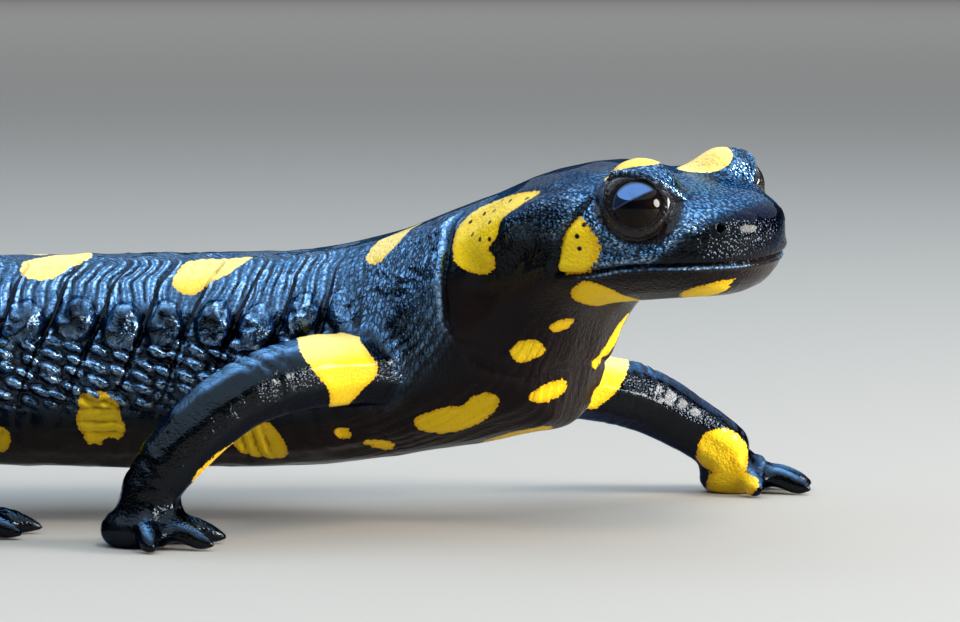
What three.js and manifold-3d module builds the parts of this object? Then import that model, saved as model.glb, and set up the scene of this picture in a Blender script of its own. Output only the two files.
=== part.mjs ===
// Fire salamander, life size, walking: a still model of the whole animal.
// Millimetres, +Z up, head towards +X, the animal's left side towards +Y.
// The body is a row of closed lofts along one bent axis, from the snout to the tail tip. Limbs are
// lofts along their own curves, and the digits fan out of each hand and foot. Every sub-part is a
// solid of its own, and thin gaps part it from its neighbours.

import * as THREE from 'three';
import { mergeVertices } from 'three/addons/utils/BufferGeometryUtils.js';
import Module from 'manifold-3d';

const wasm = await Module();
wasm.setup();

// ---- driving dimensions -------------------------------------------------------------------

const GAP = 0.3;                    // space left between neighbouring solids
const FLOOR = 0;                    // level that the feet and the tail rest on

// Head: distances along the head axis are counted from the line between the two eyes.
const EYE_MIDPOINT = [15.0, -11.9, 25.2];
const HEAD_YAW = -35;               // degrees, turned to the right
const HEAD_PITCH = 4;
const HEAD_ROLL = 4.2;              // right side lower
const AXIS_BELOW_EYES = 2.3;        // the head is widest this far under the eyes
const SNOUT_TIP = 7.45;
const SNOUT_ROUNDING = 4.1;
const HEAD_REAR = -17.4;            // the fold behind the glands, where head and neck meet
const EYE_RADIUS = 3.1;
const EYE_SPACING = 12.1;
const MOUTH_CORNER = -6.6;

// Places along the body axis where one length ends and the next begins.
const NECK_REAR = -22;
const TRUNK_FRONT_REAR = -34;
const TRUNK_MIDDLE_REAR = -51;
const TRUNK_REAR_REAR = -76;
const TAIL_BASE_REAR = -98;
const TAIL_MIDDLE_REAR = -123;
const TAIL_TIP = -155;
const TAIL_TIP_ROUNDING = 3;

// Grooves between the ribs.
const FIRST_RIB_GROOVE = -26.6;
const RIB_PITCH = 3.95;
const RIB_COUNT = 11;
const RIB_GROOVE_DEPTH = 0.28;
const BELLY_START = -0.6;           // share of the section's depth at which the grooves end

const BODY_SIDES = 18;              // corners of a body section
const LIMB_SIDES = 9;
const DIGIT_SIDES = 6;
const LIMB_RINGS = 10;              // lengths that a limb is lofted in
const CUFF_RINGS = 3;
const DIGIT_RINGS = 5;

// ---- colours and finishes -----------------------------------------------------------------

const blackSkin = () => new THREE.MeshStandardMaterial({ color: 0x14171d, roughness: 0.3, metalness: 0 });
const yellowSkin = () => new THREE.MeshStandardMaterial({ color: 0xf0b414, roughness: 0.4, metalness: 0 });
const wetEye = () => new THREE.MeshStandardMaterial({ color: 0x0a0808, roughness: 0.05, metalness: 0 });

// ---- small helpers ------------------------------------------------------------------------

const radians = (degrees) => THREE.MathUtils.degToRad(degrees);
const vector = (point) => new THREE.Vector3(...point);

// Smooth value at x of a profile given as [x, value] stations in rising order of x.
function profile(stations) {
  const last = stations.length - 1;
  const slope = (i) => {
    const a = Math.max(i - 1, 0);
    const b = Math.min(i + 1, last);
    return (stations[b][1] - stations[a][1]) / (stations[b][0] - stations[a][0]);
  };
  return (x) => {
    if (x <= stations[0][0]) return stations[0][1];
    if (x >= stations[last][0]) return stations[last][1];
    const i = stations.findIndex((station) => station[0] > x) - 1;
    const span = stations[i + 1][0] - stations[i][0];
    const t = (x - stations[i][0]) / span;
    const rise = stations[i + 1][1] - stations[i][1];
    const bend0 = slope(i) * span - rise;
    const bend1 = rise - slope(i + 1) * span;
    return stations[i][1] + rise * t + t * (1 - t) * (bend0 * (1 - t) + bend1 * t);
  };
}

// 1 along the length, falling to 0 at the tip as a quarter ellipse does.
function roundedTowards(tip, rounding) {
  const start = tip - Math.sign(tip - HEAD_REAR) * rounding;
  return (x) => {
    const t = THREE.MathUtils.clamp((x - start) / (tip - start), 0, 1);
    return Math.sqrt(1 - t * t);
  };
}

// Closed mesh through rings of equally many points, with a flat or pointed cap at each end.
function closedLoft(rings) {
  const sides = rings[0].length;
  const positions = [];
  const index = [];
  rings.forEach((ring) => ring.forEach((point) => positions.push(point.x, point.y, point.z)));
  for (let r = 0; r + 1 < rings.length; r += 1) {
    for (let k = 0; k < sides; k += 1) {
      const next = (k + 1) % sides;
      const a = r * sides + k;
      const b = r * sides + next;
      index.push(a, b, b + sides, a, b + sides, a + sides);
    }
  }
  const lastStart = (rings.length - 1) * sides;
  [[rings[0], 0, true], [rings.at(-1), lastStart, false]].forEach(([ring, start, first]) => {
    const centre = ring.reduce((sum, point) => sum.add(point), new THREE.Vector3()).divideScalar(sides);
    const hub = positions.length / 3;
    positions.push(centre.x, centre.y, centre.z);
    for (let k = 0; k < sides; k += 1) {
      const next = (k + 1) % sides;
      if (first) index.push(hub, start + next, start + k);
      else index.push(hub, start + k, start + next);
    }
  });
  const geometry = new THREE.BufferGeometry();
  geometry.setAttribute('position', new THREE.Float32BufferAttribute(positions, 3));
  geometry.setIndex(index);
  return geometry;
}

function solidOf(geometry) {
  const bare = geometry.clone();
  bare.deleteAttribute('normal');
  bare.deleteAttribute('uv');
  const merged = mergeVertices(bare, 1e-5);
  const mesh = new wasm.Mesh({
    numProp: 3,
    vertProperties: new Float32Array(merged.attributes.position.array),
    triVerts: new Uint32Array(merged.index.array),
  });
  const solid = new wasm.Manifold(mesh);
  return solid.volume() < 0 ? new wasm.Manifold(turnedInsideOut(mesh)) : solid;
}

function turnedInsideOut(mesh) {
  const triVerts = mesh.triVerts.slice();
  for (let i = 0; i < triVerts.length; i += 3) {
    [triVerts[i], triVerts[i + 1]] = [triVerts[i + 1], triVerts[i]];
  }
  return new wasm.Mesh({ numProp: 3, vertProperties: mesh.vertProperties, triVerts });
}

function largestPiece(solid) {
  const pieces = solid.decompose();
  return pieces.reduce((best, piece) => (piece.volume() > best.volume() ? piece : best));
}

function geometryOf(solid) {
  const mesh = solid.getMesh();
  const geometry = new THREE.BufferGeometry();
  geometry.setAttribute('position', new THREE.BufferAttribute(new Float32Array(mesh.vertProperties), 3));
  geometry.setIndex(new THREE.BufferAttribute(new Uint32Array(mesh.triVerts), 1));
  return geometry;
}

const salamander = new THREE.Group();

function addPart(name, solid, material) {
  const mesh = new THREE.Mesh(geometryOf(largestPiece(solid)), material);
  mesh.name = name;
  salamander.add(mesh);
}

const ROOM = 400;                   // larger than the whole animal
const aboveFloor = solidOf(new THREE.BoxGeometry(ROOM, ROOM, ROOM).translate(0, 0, FLOOR + ROOM / 2));

// ---- body axis ----------------------------------------------------------------------------

// The head's own frame: forward, left and up.
const headTurn = new THREE.Matrix4()
  .makeRotationZ(radians(HEAD_YAW))
  .multiply(new THREE.Matrix4().makeRotationY(radians(-HEAD_PITCH)))
  .multiply(new THREE.Matrix4().makeRotationX(radians(HEAD_ROLL)));
const headFrame = headTurn.clone().setPosition(vector(EYE_MIDPOINT));

const onHead = (forward, left, up) => new THREE.Vector3(forward, left, up).applyMatrix4(headFrame);

const headAxisPoints = [SNOUT_TIP, 4, 0, -4, -7.5].map((forward) => onHead(forward, 0, -AXIS_BELOW_EYES));
const bodyAxisPoints = [
  [3.6, -3.6, 19.2],                // neck, rising to the head
  [-3.5, -0.6, 14.9],               // shoulders
  [-12, 1.0, 12.6],
  [-24, 1.6, 12.1],                 // middle of the back
  [-38, 0.2, 12.1],
  [-50, -3.0, 11.8],                // hips
  [-58, -6.2, 10.6],
  [-68, -10.4, 7.2],                // tail, sinking to the floor
  [-80, -13.6, 3.8],
  [-93, -13.2, 2.78],
  [-106, -7.6, 2.14],
  [-117, 1.0, 1.66],
  [-122.5, 9.0, 1.22],              // tail tip
].map(vector);
const bodyAxis = new THREE.CatmullRomCurve3([...headAxisPoints, ...bodyAxisPoints], false, 'centripetal');
bodyAxis.arcLengthDivisions = 2000;
const axisLength = bodyAxis.getLength();

const rollAt = profile([[-24, 0], [-10, HEAD_ROLL], [0, HEAD_ROLL]]);

// Point and directions of the body axis at a place counted from the eyes, forward positive.
function axisFrame(place) {
  const along = THREE.MathUtils.clamp((SNOUT_TIP - place) / axisLength, 0, 1);
  const forward = bodyAxis.getTangentAt(along).negate();
  const left = new THREE.Vector3(0, 0, 1).cross(forward).normalize();
  const up = forward.clone().cross(left);
  const roll = radians(rollAt(place));
  const rolledLeft = left.clone().multiplyScalar(Math.cos(roll)).addScaledVector(up, Math.sin(roll));
  const rolledUp = up.clone().multiplyScalar(Math.cos(roll)).addScaledVector(left, -Math.sin(roll));
  return { centre: bodyAxis.getPointAt(along), left: rolledLeft, up: rolledUp };
}

// ---- body sections ------------------------------------------------------------------------

// Half width, height over the axis, depth under it, and how square the section is (2 is an ellipse).
const halfWidth = profile([
  [TAIL_TIP, 1.4], [-142, 2.0], [-126, 2.75], [-110, 3.5], [-98, 4.1], [-88, 4.9], [-80, 5.9], [-74, 7.0],
  [-68, 7.9], [-60, 8.9], [-48, 9.6], [-36, 9.4], [-27, 9.0], [-21, 8.7], [-16, 8.0], [-12, 8.1],
  [-9, 8.8], [-6, 9.2], [-3, 8.9], [0, 8.2], [3, 7.2], [5.5, 6.1], [8, 5.1],
]);
const heightOverAxis = profile([
  [TAIL_TIP, 1.3], [-142, 1.9], [-126, 2.6], [-110, 3.3], [-98, 4.1], [-88, 4.9], [-80, 5.8], [-72, 7.1],
  [-62, 7.9], [-50, 8.2], [-36, 8.2], [-27, 8.0], [-20, 7.4], [-15, 6.5], [-11, 5.9], [-8, 5.6],
  [-4, 4.9], [0, 4.1], [3, 3.2], [5.5, 2.35], [8, 1.7],
]);
const depthUnderAxis = profile([
  [TAIL_TIP, 1.35], [-142, 1.9], [-126, 2.55], [-110, 3.15], [-98, 3.9], [-88, 4.8], [-80, 5.8], [-72, 6.9],
  [-62, 7.9], [-50, 8.4], [-36, 8.5], [-27, 9.1], [-22, 10.4], [-18, 11.8], [-15, 10.2], [-12, 7.4],
  [-9, 5.9], [-5, 5.2], [0, 5.0], [4, 5.0], [8, 5.1],
]);
const squareness = profile([
  [TAIL_TIP, 2], [-70, 2.05], [-48, 2.15], [-24, 2.15], [-12, 2.3], [-6, 2.45], [8, 2.3],
]);
const snoutRounding = roundedTowards(SNOUT_TIP, SNOUT_ROUNDING);
const tailRounding = roundedTowards(TAIL_TIP, TAIL_TIP_ROUNDING);
const LEAST_ROUNDING = 0.02;        // keeps the last ring of a rounded end open

// Depth of the nearest groove between the ribs, for a point of the section this far to the side:
// deepest on the flanks.
function ribGroove(place, sideways) {
  const count = (FIRST_RIB_GROOVE - place) / RIB_PITCH;
  if (count < -0.5 || count > RIB_COUNT - 0.5) return 0;
  const nearness = Math.cos(2 * Math.PI * count);
  return RIB_GROOVE_DEPTH * Math.max(nearness, 0) ** 2 * sideways;
}

// One section of the body. Its grooves end where the belly begins.
function bodyRing(place, growth = 0) {
  const { centre, left, up } = axisFrame(place);
  const rounding = Math.max(Math.min(snoutRounding(place), tailRounding(place)), LEAST_ROUNDING);
  const power = 2 / squareness(place);
  return Array.from({ length: BODY_SIDES }, (_, k) => {
    const angle = (2 * Math.PI * (k + 0.5)) / BODY_SIDES;
    const c = Math.cos(angle);
    const s = Math.sin(angle);
    const groove = s > BELLY_START ? ribGroove(place, Math.abs(c)) : 0;
    const across = halfWidth(place) * rounding + growth - groove;
    const tall = (s > 0 ? heightOverAxis(place) : depthUnderAxis(place)) * rounding + growth - groove * 0.5;
    return centre.clone()
      .addScaledVector(left, across * Math.sign(c) * Math.abs(c) ** power)
      .addScaledVector(up, tall * Math.sign(s) * Math.abs(s) ** power);
  });
}

// Places of the rings of one length: its two ends, and between them an even grid on which a ring
// falls in every groove.
function ringPlaces(front, rear, step) {
  const places = [front];
  const first = Math.floor((front - FIRST_RIB_GROOVE) / step);
  for (let i = first; FIRST_RIB_GROOVE + i * step > rear + step / 3; i -= 1) {
    const place = FIRST_RIB_GROOVE + i * step;
    if (place < front - step / 3) places.push(place);
  }
  return [...places, rear];
}

// Solid length of body between two places, cut square to the axis at both ends.
function bodyLength(front, rear, step, growth = 0) {
  return solidOf(closedLoft(ringPlaces(front, rear, step).map((place) => bodyRing(place, growth))));
}

// ---- neck, trunk and tail -----------------------------------------------------------------

const RIB_STEP = RIB_PITCH / 3;
const PLAIN_STEP = 3.0;
const HEAD_STEP = 2.2;
const bodyLengths = [
  ['neck', HEAD_REAR, NECK_REAR, RIB_STEP],
  ['trunk_front', NECK_REAR, TRUNK_FRONT_REAR, RIB_STEP],
  ['trunk_middle', TRUNK_FRONT_REAR, TRUNK_MIDDLE_REAR, RIB_STEP],
  ['trunk_rear', TRUNK_MIDDLE_REAR, TRUNK_REAR_REAR, RIB_STEP],
  ['tail_base', TRUNK_REAR_REAR, TAIL_BASE_REAR, PLAIN_STEP],
  ['tail_middle', TAIL_BASE_REAR, TAIL_MIDDLE_REAR, PLAIN_STEP],
];
for (const [name, front, rear, step] of bodyLengths) {
  const length = bodyLength(front - GAP / 2, rear + GAP / 2, step);
  addPart(name, length.intersect(aboveFloor), blackSkin());
}

function tailTip() {
  const roundStart = TAIL_TIP + TAIL_TIP_ROUNDING;
  const roundedEnd = [30, 60, 82].map((turn) => roundStart - TAIL_TIP_ROUNDING * Math.sin(radians(turn)));
  const places = [...ringPlaces(TAIL_MIDDLE_REAR - GAP / 2, roundStart, PLAIN_STEP), ...roundedEnd];
  return solidOf(closedLoft(places.map((place) => bodyRing(place))));
}
addPart('tail_tip', tailTip().intersect(aboveFloor), blackSkin());

// ---- head, jaw, glands and eyes -----------------------------------------------------------

function wholeHead() {
  const roundStart = SNOUT_TIP - SNOUT_ROUNDING;
  const turns = [86, 70, 54, 36, 18];
  const roundedEnd = turns.map((turn) => roundStart + SNOUT_ROUNDING * Math.sin(radians(turn)));
  const places = [...roundedEnd, ...ringPlaces(roundStart, HEAD_REAR + GAP / 2, HEAD_STEP)];
  return solidOf(closedLoft(places.map((place) => bodyRing(place))));
}

// Ball or egg placed in the head's frame, its rear end lowered and turned inwards by degrees.
function headEgg(centre, radii, { around = 10, inward = 0, drop = 0 } = {}) {
  const geometry = new THREE.SphereGeometry(1, around, Math.round(around * 0.7));
  geometry.rotateX(Math.PI / 2);
  geometry.scale(...radii);
  geometry.rotateY(radians(-drop));
  geometry.rotateZ(radians(inward));
  geometry.translate(...centre);
  geometry.applyMatrix4(headFrame);
  return solidOf(geometry);
}

const JAW_ROOM_FRONT = 20;          // ahead of the snout
const JAW_ROOM_FOOT = -14;          // under the chin
const JAW_ROOM_WIDTH = 30;
const JAW_SLANT = 2.6;              // the rear edge of the jaw leans back this far

// Everything under the line of the lips and in front of the mouth's corner.
function jawRoom(offset) {
  const lipLine = new THREE.CatmullRomCurve3([
    [JAW_ROOM_FRONT, -4.5], [SNOUT_TIP, -4.5], [2.5, -4.2], [-2.5, -4.3], [MOUTH_CORNER, -4.9],
  ].map(([forward, up]) => new THREE.Vector3(forward, up + offset, 0)));
  const outline = new THREE.Shape();
  const lips = lipLine.getPoints(8);
  lips[lips.length - 1].x -= offset;
  outline.moveTo(lips[0].x, lips[0].y);
  lips.slice(1).forEach((point) => outline.lineTo(point.x, point.y));
  outline.lineTo(MOUTH_CORNER - JAW_SLANT - offset, JAW_ROOM_FOOT);
  outline.lineTo(JAW_ROOM_FRONT, JAW_ROOM_FOOT);
  const geometry = new THREE.ExtrudeGeometry(outline, { depth: JAW_ROOM_WIDTH, bevelEnabled: false });
  geometry.translate(0, 0, -JAW_ROOM_WIDTH / 2);
  geometry.applyMatrix4(new THREE.Matrix4().makeRotationX(Math.PI / 2));
  geometry.applyMatrix4(headFrame);
  return solidOf(geometry);
}

const SIDES = [['left', 1], ['right', -1]];
const eyeCentre = (side) => [0, (side * EYE_SPACING) / 2, 0];
const LID_INSET = 0.8;              // the lid's bulge sits this far inside the eyeball
const lidCentre = (side) => [-0.2, side * (EYE_SPACING / 2 - LID_INSET), 0.15];
const LID_RADII = [3.5, 3.0, 3.2];
const glandCentre = (side) => [-10.4, side * 6.4, -2.0];
const GLAND_RADII = [6.4, 2.5, 2.9];
const GLAND_TURN = 6;               // the two glands close in towards the back of the head
const GLAND_DROP = 20;              // and their rear ends hang lower

let headSolid = wholeHead();
for (const [, side] of SIDES) headSolid = headSolid.add(headEgg(lidCentre(side), LID_RADII));
for (const [name, side] of SIDES) {
  const gland = (growth) => {
    const radii = GLAND_RADII.map((radius) => radius + growth);
    return headEgg(glandCentre(side), radii, { inward: side * GLAND_TURN, drop: GLAND_DROP });
  };
  const eye = (growth) => headEgg(eyeCentre(side), Array(3).fill(EYE_RADIUS + growth), { around: 12 });
  headSolid = headSolid.subtract(eye(GAP)).subtract(gland(GAP));
  addPart(`eye_${name}`, eye(0), wetEye());
  addPart(`parotoid_${name}`, gland(0), yellowSkin());
}
addPart('head', headSolid.subtract(jawRoom(GAP / 2)), blackSkin());
addPart('lower_jaw', headSolid.intersect(jawRoom(-GAP / 2)), blackSkin());

// ---- limbs --------------------------------------------------------------------------------

// Point and directions at a place along a limb's curve, counted from 0 at its root to 1 at its end.
function limbFrame(path, along) {
  const forward = path.getTangentAt(along);
  const side = new THREE.Vector3(0, 0, 1).cross(forward).normalize();
  return { centre: path.getPointAt(along), forward, side, up: forward.clone().cross(side) };
}

function limbCurve(stations) {
  const points = stations.map((station) => vector(station.at));
  const path = new THREE.CatmullRomCurve3(points, false, 'centripetal');
  path.arcLengthDivisions = 400;
  return path;
}

// Loft along a curve with oval sections: stations hold a point, a half width and a half height.
function limbLoft(stations, ringCount, sides, growth = 0) {
  const path = limbCurve(stations);
  const places = [0];
  for (let i = 1; i < stations.length; i += 1) {
    places.push(places[i - 1] + vector(stations[i].at).distanceTo(vector(stations[i - 1].at)));
  }
  const wide = profile(stations.map((station, i) => [places[i] / places.at(-1), station.wide]));
  const tall = profile(stations.map((station, i) => [places[i] / places.at(-1), station.tall]));
  const rings = [];
  for (let i = 0; i <= ringCount; i += 1) {
    const along = i / ringCount;
    const { centre, side, up } = limbFrame(path, along);
    rings.push(Array.from({ length: sides }, (_, k) => {
      const angle = (2 * Math.PI * (k + 0.5)) / sides;
      return centre.clone()
        .addScaledVector(side, (wide(along) + growth) * Math.cos(angle))
        .addScaledVector(up, (tall(along) + growth) * Math.sin(angle));
    }));
  }
  return solidOf(closedLoft(rings));
}

// Block that fills everything ahead of a plane square to the limb, or behind it.
function beyondPlane({ centre, forward }, ahead) {
  const direction = forward.clone().multiplyScalar(ahead ? 1 : -1);
  const block = new THREE.BoxGeometry(ROOM, ROOM, ROOM).translate(0, 0, ROOM / 2 + GAP / 2);
  block.applyQuaternion(new THREE.Quaternion().setFromUnitVectors(new THREE.Vector3(0, 0, 1), direction));
  block.translate(centre.x, centre.y, centre.z);
  return solidOf(block);
}

const station = (at, wide, tall = wide) => ({ at, wide, tall });

// Each limb: its curve from inside the body to the wrist or ankle, where along it the elbow or knee
// lies, its palm or sole, and the way each digit points, in degrees from straight ahead.
const limbs = [
  {
    side: 'right', kind: 'fore',
    path: [
      station([-6.2, -5.2, 12.0], 3.6, 3.3), station([-10.4, -9.8, 12.4], 3.0),
      station([-17.4, -15.4, 11.0], 2.65), station([-21.6, -17.2, 7.6], 2.65, 2.6),
      station([-24.2, -17.6, 4.2], 2.3, 2.2),
    ],
    bend: 0.56, palm: [-25.0, -17.6], palmTurn: -14, digitTurns: [50, 12, -30, -76],
  },
  {
    side: 'left', kind: 'fore',
    path: [
      station([0.5, 4.6, 10.8], 4.2, 3.8), station([6.2, 9.4, 9.9], 3.3),
      station([12.8, 13.6, 7.9], 2.8), station([16.8, 14.9, 5.5], 2.35),
      station([19.4, 15.7, 3.4], 2.1, 1.9),
    ],
    bend: 0.62, palm: [20.6, 16.4], palmTurn: 14, digitTurns: [-72, -24, 14, 54],
  },
  {
    side: 'right', kind: 'hind',
    path: [
      station([-53.4, -6.6, 10.8], 3.9, 3.7), station([-50.2, -11.6, 11.8], 3.3),
      station([-47.2, -14.6, 11.3], 2.9), station([-45.0, -14.8, 8.6], 2.8),
      station([-43.4, -13.6, 6.0], 2.5), station([-42.0, -12.2, 3.6], 2.1),
    ],
    bend: 0.56, palm: [-40.6, -11.4], palmTurn: 8, digitTurns: [64, 34, 6, -24, -62],
  },
  {
    side: 'left', kind: 'hind',
    path: [
      station([-55.5, 0.0, 11.0], 3.9, 3.7), station([-57.4, 7.6, 11.6], 3.3),
      station([-59.4, 12.4, 10.8], 2.9), station([-62.4, 14.6, 8.4], 2.7),
      station([-65.2, 15.8, 5.8], 2.5), station([-67.4, 16.8, 3.6], 2.1),
    ],
    bend: 0.58, palm: [-67.4, 18.4], palmTurn: 52, digitTurns: [-6, 24, 52, 82, 118],
  },
];
const PARTS_OF = {
  fore: {
    upper: 'upper_arm', lower: 'forearm', end: 'hand', digit: 'finger', palmLong: 3.1, palmWide: 2.75,
  },
  hind: {
    upper: 'thigh', lower: 'shin', end: 'foot', digit: 'toe', palmLong: 3.6, palmWide: 3.2,
  },
};
const DIGIT_REACH = { fore: [5.4, 6.6, 6.6, 5.4], hind: [5.8, 7.2, 8.0, 7.4, 6.0] };
const DIGIT_BASE_RADIUS = 1.0;
const DIGIT_TIP_RADIUS = 0.78;
const DIGIT_START = 1.4;            // inside the palm
const KNUCKLE_HEIGHT = 1.35;
const PALM_HEIGHT = 1.25;           // of its middle; the floor cuts its underside flat
const PALM_HALF_THICKNESS = 1.9;

// Palm or sole: from inside the wrist or ankle down to a low, rounded paddle on the floor.
function palmSolid(limb, growth = 0) {
  const { palmLong, palmWide } = PARTS_OF[limb.kind];
  const turn = radians(limb.palmTurn);
  const geometry = new THREE.SphereGeometry(1, 10, 7);
  geometry.rotateX(Math.PI / 2);
  geometry.scale(palmLong + growth, palmWide + growth, PALM_HALF_THICKNESS + growth);
  geometry.rotateZ(turn);
  geometry.translate(limb.palm[0], limb.palm[1], PALM_HEIGHT);
  const wrist = limb.path.at(-1);
  const palmMiddle = [...limb.palm, PALM_HEIGHT];
  const halfway = vector(wrist.at).lerp(vector(palmMiddle), 0.5).toArray();
  const cuff = [
    station(wrist.at, wrist.wide, wrist.tall),
    station(halfway, wrist.wide, wrist.tall * 0.95),
    station(palmMiddle, wrist.wide * 0.8, PALM_HEIGHT),
  ];
  return solidOf(geometry).add(limbLoft(cuff, CUFF_RINGS, LIMB_SIDES, growth));
}

// Digit: rises from the palm to a low knuckle and comes down to a blunt tip on the floor.
function digitSolid(limb, number) {
  const reach = DIGIT_REACH[limb.kind][number];
  const turn = radians(limb.digitTurns[number]);
  const out = (distance, height) => [
    limb.palm[0] + distance * Math.cos(turn), limb.palm[1] + distance * Math.sin(turn), height,
  ];
  const path = [
    station(out(DIGIT_START, PALM_HEIGHT), DIGIT_BASE_RADIUS),
    station(out(reach * 0.55, KNUCKLE_HEIGHT), DIGIT_BASE_RADIUS * 0.95),
    station(out(reach - 0.8, 0.55), DIGIT_TIP_RADIUS),
    station(out(reach - 0.25, 0.5), DIGIT_TIP_RADIUS * 0.78),
    station(out(reach, 0.48), DIGIT_TIP_RADIUS * 0.3),
  ];
  return limbLoft(path, DIGIT_RINGS, DIGIT_SIDES);
}

const LIMB_ROOTS_FRONT = -11;       // length of body that the limbs' roots are cut back to
const LIMB_ROOTS_REAR = -80;
const trunkGrown = bodyLength(LIMB_ROOTS_FRONT, LIMB_ROOTS_REAR, RIB_STEP, GAP);
for (const limb of limbs) {
  const parts = PARTS_OF[limb.kind];
  const palmGrown = palmSolid(limb, GAP);
  const whole = limbLoft(limb.path, LIMB_RINGS, LIMB_SIDES).subtract(trunkGrown);
  const joint = limbFrame(limbCurve(limb.path), limb.bend);
  addPart(`${parts.upper}_${limb.side}`, whole.intersect(beyondPlane(joint, false)), blackSkin());
  const lower = whole.intersect(beyondPlane(joint, true)).subtract(palmGrown);
  addPart(`${parts.lower}_${limb.side}`, lower.intersect(aboveFloor), blackSkin());
  addPart(`${parts.end}_${limb.side}`, palmSolid(limb).intersect(aboveFloor), blackSkin());
  limb.digitTurns.forEach((_, number) => {
    const digit = digitSolid(limb, number).subtract(palmGrown).intersect(aboveFloor);
    addPart(`${parts.digit}_${limb.side}_${number + 1}`, digit, blackSkin());
  });
}

// ---- the origin goes under the middle of the whole animal ---------------------------------

const extent = new THREE.Box3().setFromObject(salamander);
const middle = extent.getCenter(new THREE.Vector3());
salamander.children.forEach((mesh) => mesh.geometry.translate(-middle.x, -middle.y, -extent.min.z));

export default salamander;
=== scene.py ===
import bmesh
import bpy
import numpy as np
from mathutils import Euler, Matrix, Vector, kdtree
from mathutils.bvhtree import BVHTree


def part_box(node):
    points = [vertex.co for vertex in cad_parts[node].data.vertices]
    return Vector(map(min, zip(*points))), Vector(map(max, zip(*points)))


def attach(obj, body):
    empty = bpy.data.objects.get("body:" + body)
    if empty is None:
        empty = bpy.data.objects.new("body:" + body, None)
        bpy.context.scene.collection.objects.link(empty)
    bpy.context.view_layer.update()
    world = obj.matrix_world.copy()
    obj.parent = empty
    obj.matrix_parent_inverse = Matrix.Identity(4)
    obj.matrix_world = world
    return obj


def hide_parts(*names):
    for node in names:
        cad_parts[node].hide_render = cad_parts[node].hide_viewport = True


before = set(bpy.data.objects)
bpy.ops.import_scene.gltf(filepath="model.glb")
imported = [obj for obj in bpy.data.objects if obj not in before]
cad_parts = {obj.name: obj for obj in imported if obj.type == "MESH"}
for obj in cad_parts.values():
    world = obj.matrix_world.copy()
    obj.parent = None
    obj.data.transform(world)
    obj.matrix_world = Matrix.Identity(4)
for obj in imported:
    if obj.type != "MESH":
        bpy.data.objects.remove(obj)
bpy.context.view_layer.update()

# ---- Skin: its form ---------------------------------------------------------------
# One elastic hide covers the head, trunk, tail and limbs without a seam. It is made from the
# swollen lengths of the body, melted into one closed surface and drawn back to its true size,
# which leaves soft webs of skin where limbs and digits join.

MM = 0.001
EYES = {"eye_left": 1, "eye_right": -1}
EYE_RADIUS = 3.1                    # millimetres, as are all the skin's sizes
GAP_COVER = 0.26                    # swelling that closes the gaps between the lengths
CORNER_LIMIT = 1.6                  # how much more a sharp corner may swell
WEB = 0.55                          # radius of the webs
ROUGH_SIZE, ROUGH_ROUNDS = 0.26, 12   # face size and smoothing of the first surface
FACE_SIZE, FACE_ROUNDS = 0.2, 14      # and of the sculpted one, before it is thinned


def object_from(shape, name):
    mesh = bpy.data.meshes.new(name)
    shape.to_mesh(mesh)
    shape.free()
    piece = bpy.data.objects.new(name, mesh)
    bpy.context.scene.collection.objects.link(piece)
    return piece


def apply_modifier(piece, kind, **settings):
    modifier = piece.modifiers.new(kind.title(), kind)
    for name, value in settings.items():
        setattr(modifier, name, value)
    evaluated = piece.evaluated_get(bpy.context.evaluated_depsgraph_get())
    mesh = bpy.data.meshes.new_from_object(evaluated)
    old = piece.data
    piece.modifiers.clear()
    piece.data = mesh
    bpy.data.meshes.remove(old)


def melt(piece, face_size, rounds):
    # Joins all that a piece holds into one closed surface, and smooths it.
    apply_modifier(piece, "REMESH", mode="VOXEL", voxel_size=face_size * MM, adaptivity=0.0)
    apply_modifier(piece, "SMOOTH", factor=0.5, iterations=rounds)


def vectors_of(rows, name):
    flat = np.empty(len(rows) * 3, np.float32)
    rows.foreach_get(name, flat)
    return flat.reshape(-1, 3).astype(float)


def points_of(piece):
    return vectors_of(piece.data.vertices, "co") / MM


def normals_of(piece):
    return vectors_of(piece.data.vertex_normals, "vector")


def move_points(piece, points):
    piece.data.vertices.foreach_set("co", (points * MM).astype(np.float32).ravel())
    piece.data.update()


def swell(piece, distance):
    distance = np.broadcast_to(distance, len(piece.data.vertices))
    move_points(piece, points_of(piece) + normals_of(piece) * distance[:, None])


flesh = [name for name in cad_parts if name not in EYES]
lengths = bmesh.new()
for name in flesh:
    length = bmesh.new()
    length.from_mesh(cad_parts[name].data)
    bmesh.ops.remove_doubles(length, verts=length.verts, dist=0.001 * MM)
    length.normal_update()
    for vert in length.verts:
        vert.co += vert.normal * GAP_COVER * MM * min(vert.calc_shell_factor(), CORNER_LIMIT)
    swollen = bpy.data.meshes.new(name)
    length.to_mesh(swollen)
    length.free()
    lengths.from_mesh(swollen)
    bpy.data.meshes.remove(swollen)

eye_centres = {}
for name in EYES:
    low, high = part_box(name)
    eye_centres[name] = (low + high) / 2
    ball = bmesh.ops.create_icosphere(lengths, subdivisions=4, radius=(EYE_RADIUS + GAP_COVER) * MM)
    bmesh.ops.translate(lengths, verts=ball["verts"], vec=eye_centres[name])

skin = object_from(lengths, "skin")
melt(skin, ROUGH_SIZE, ROUGH_ROUNDS)
swell(skin, WEB)
melt(skin, FACE_SIZE, FACE_ROUNDS)
swell(skin, -(WEB + GAP_COVER))

# ---- Skin: places on it -----------------------------------------------------------
# Folds and blotches lie at places on the body: a distance along its bent axis, counted from the
# eyes and negative towards the tail, and an offset to the left of the axis and above it.

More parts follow.
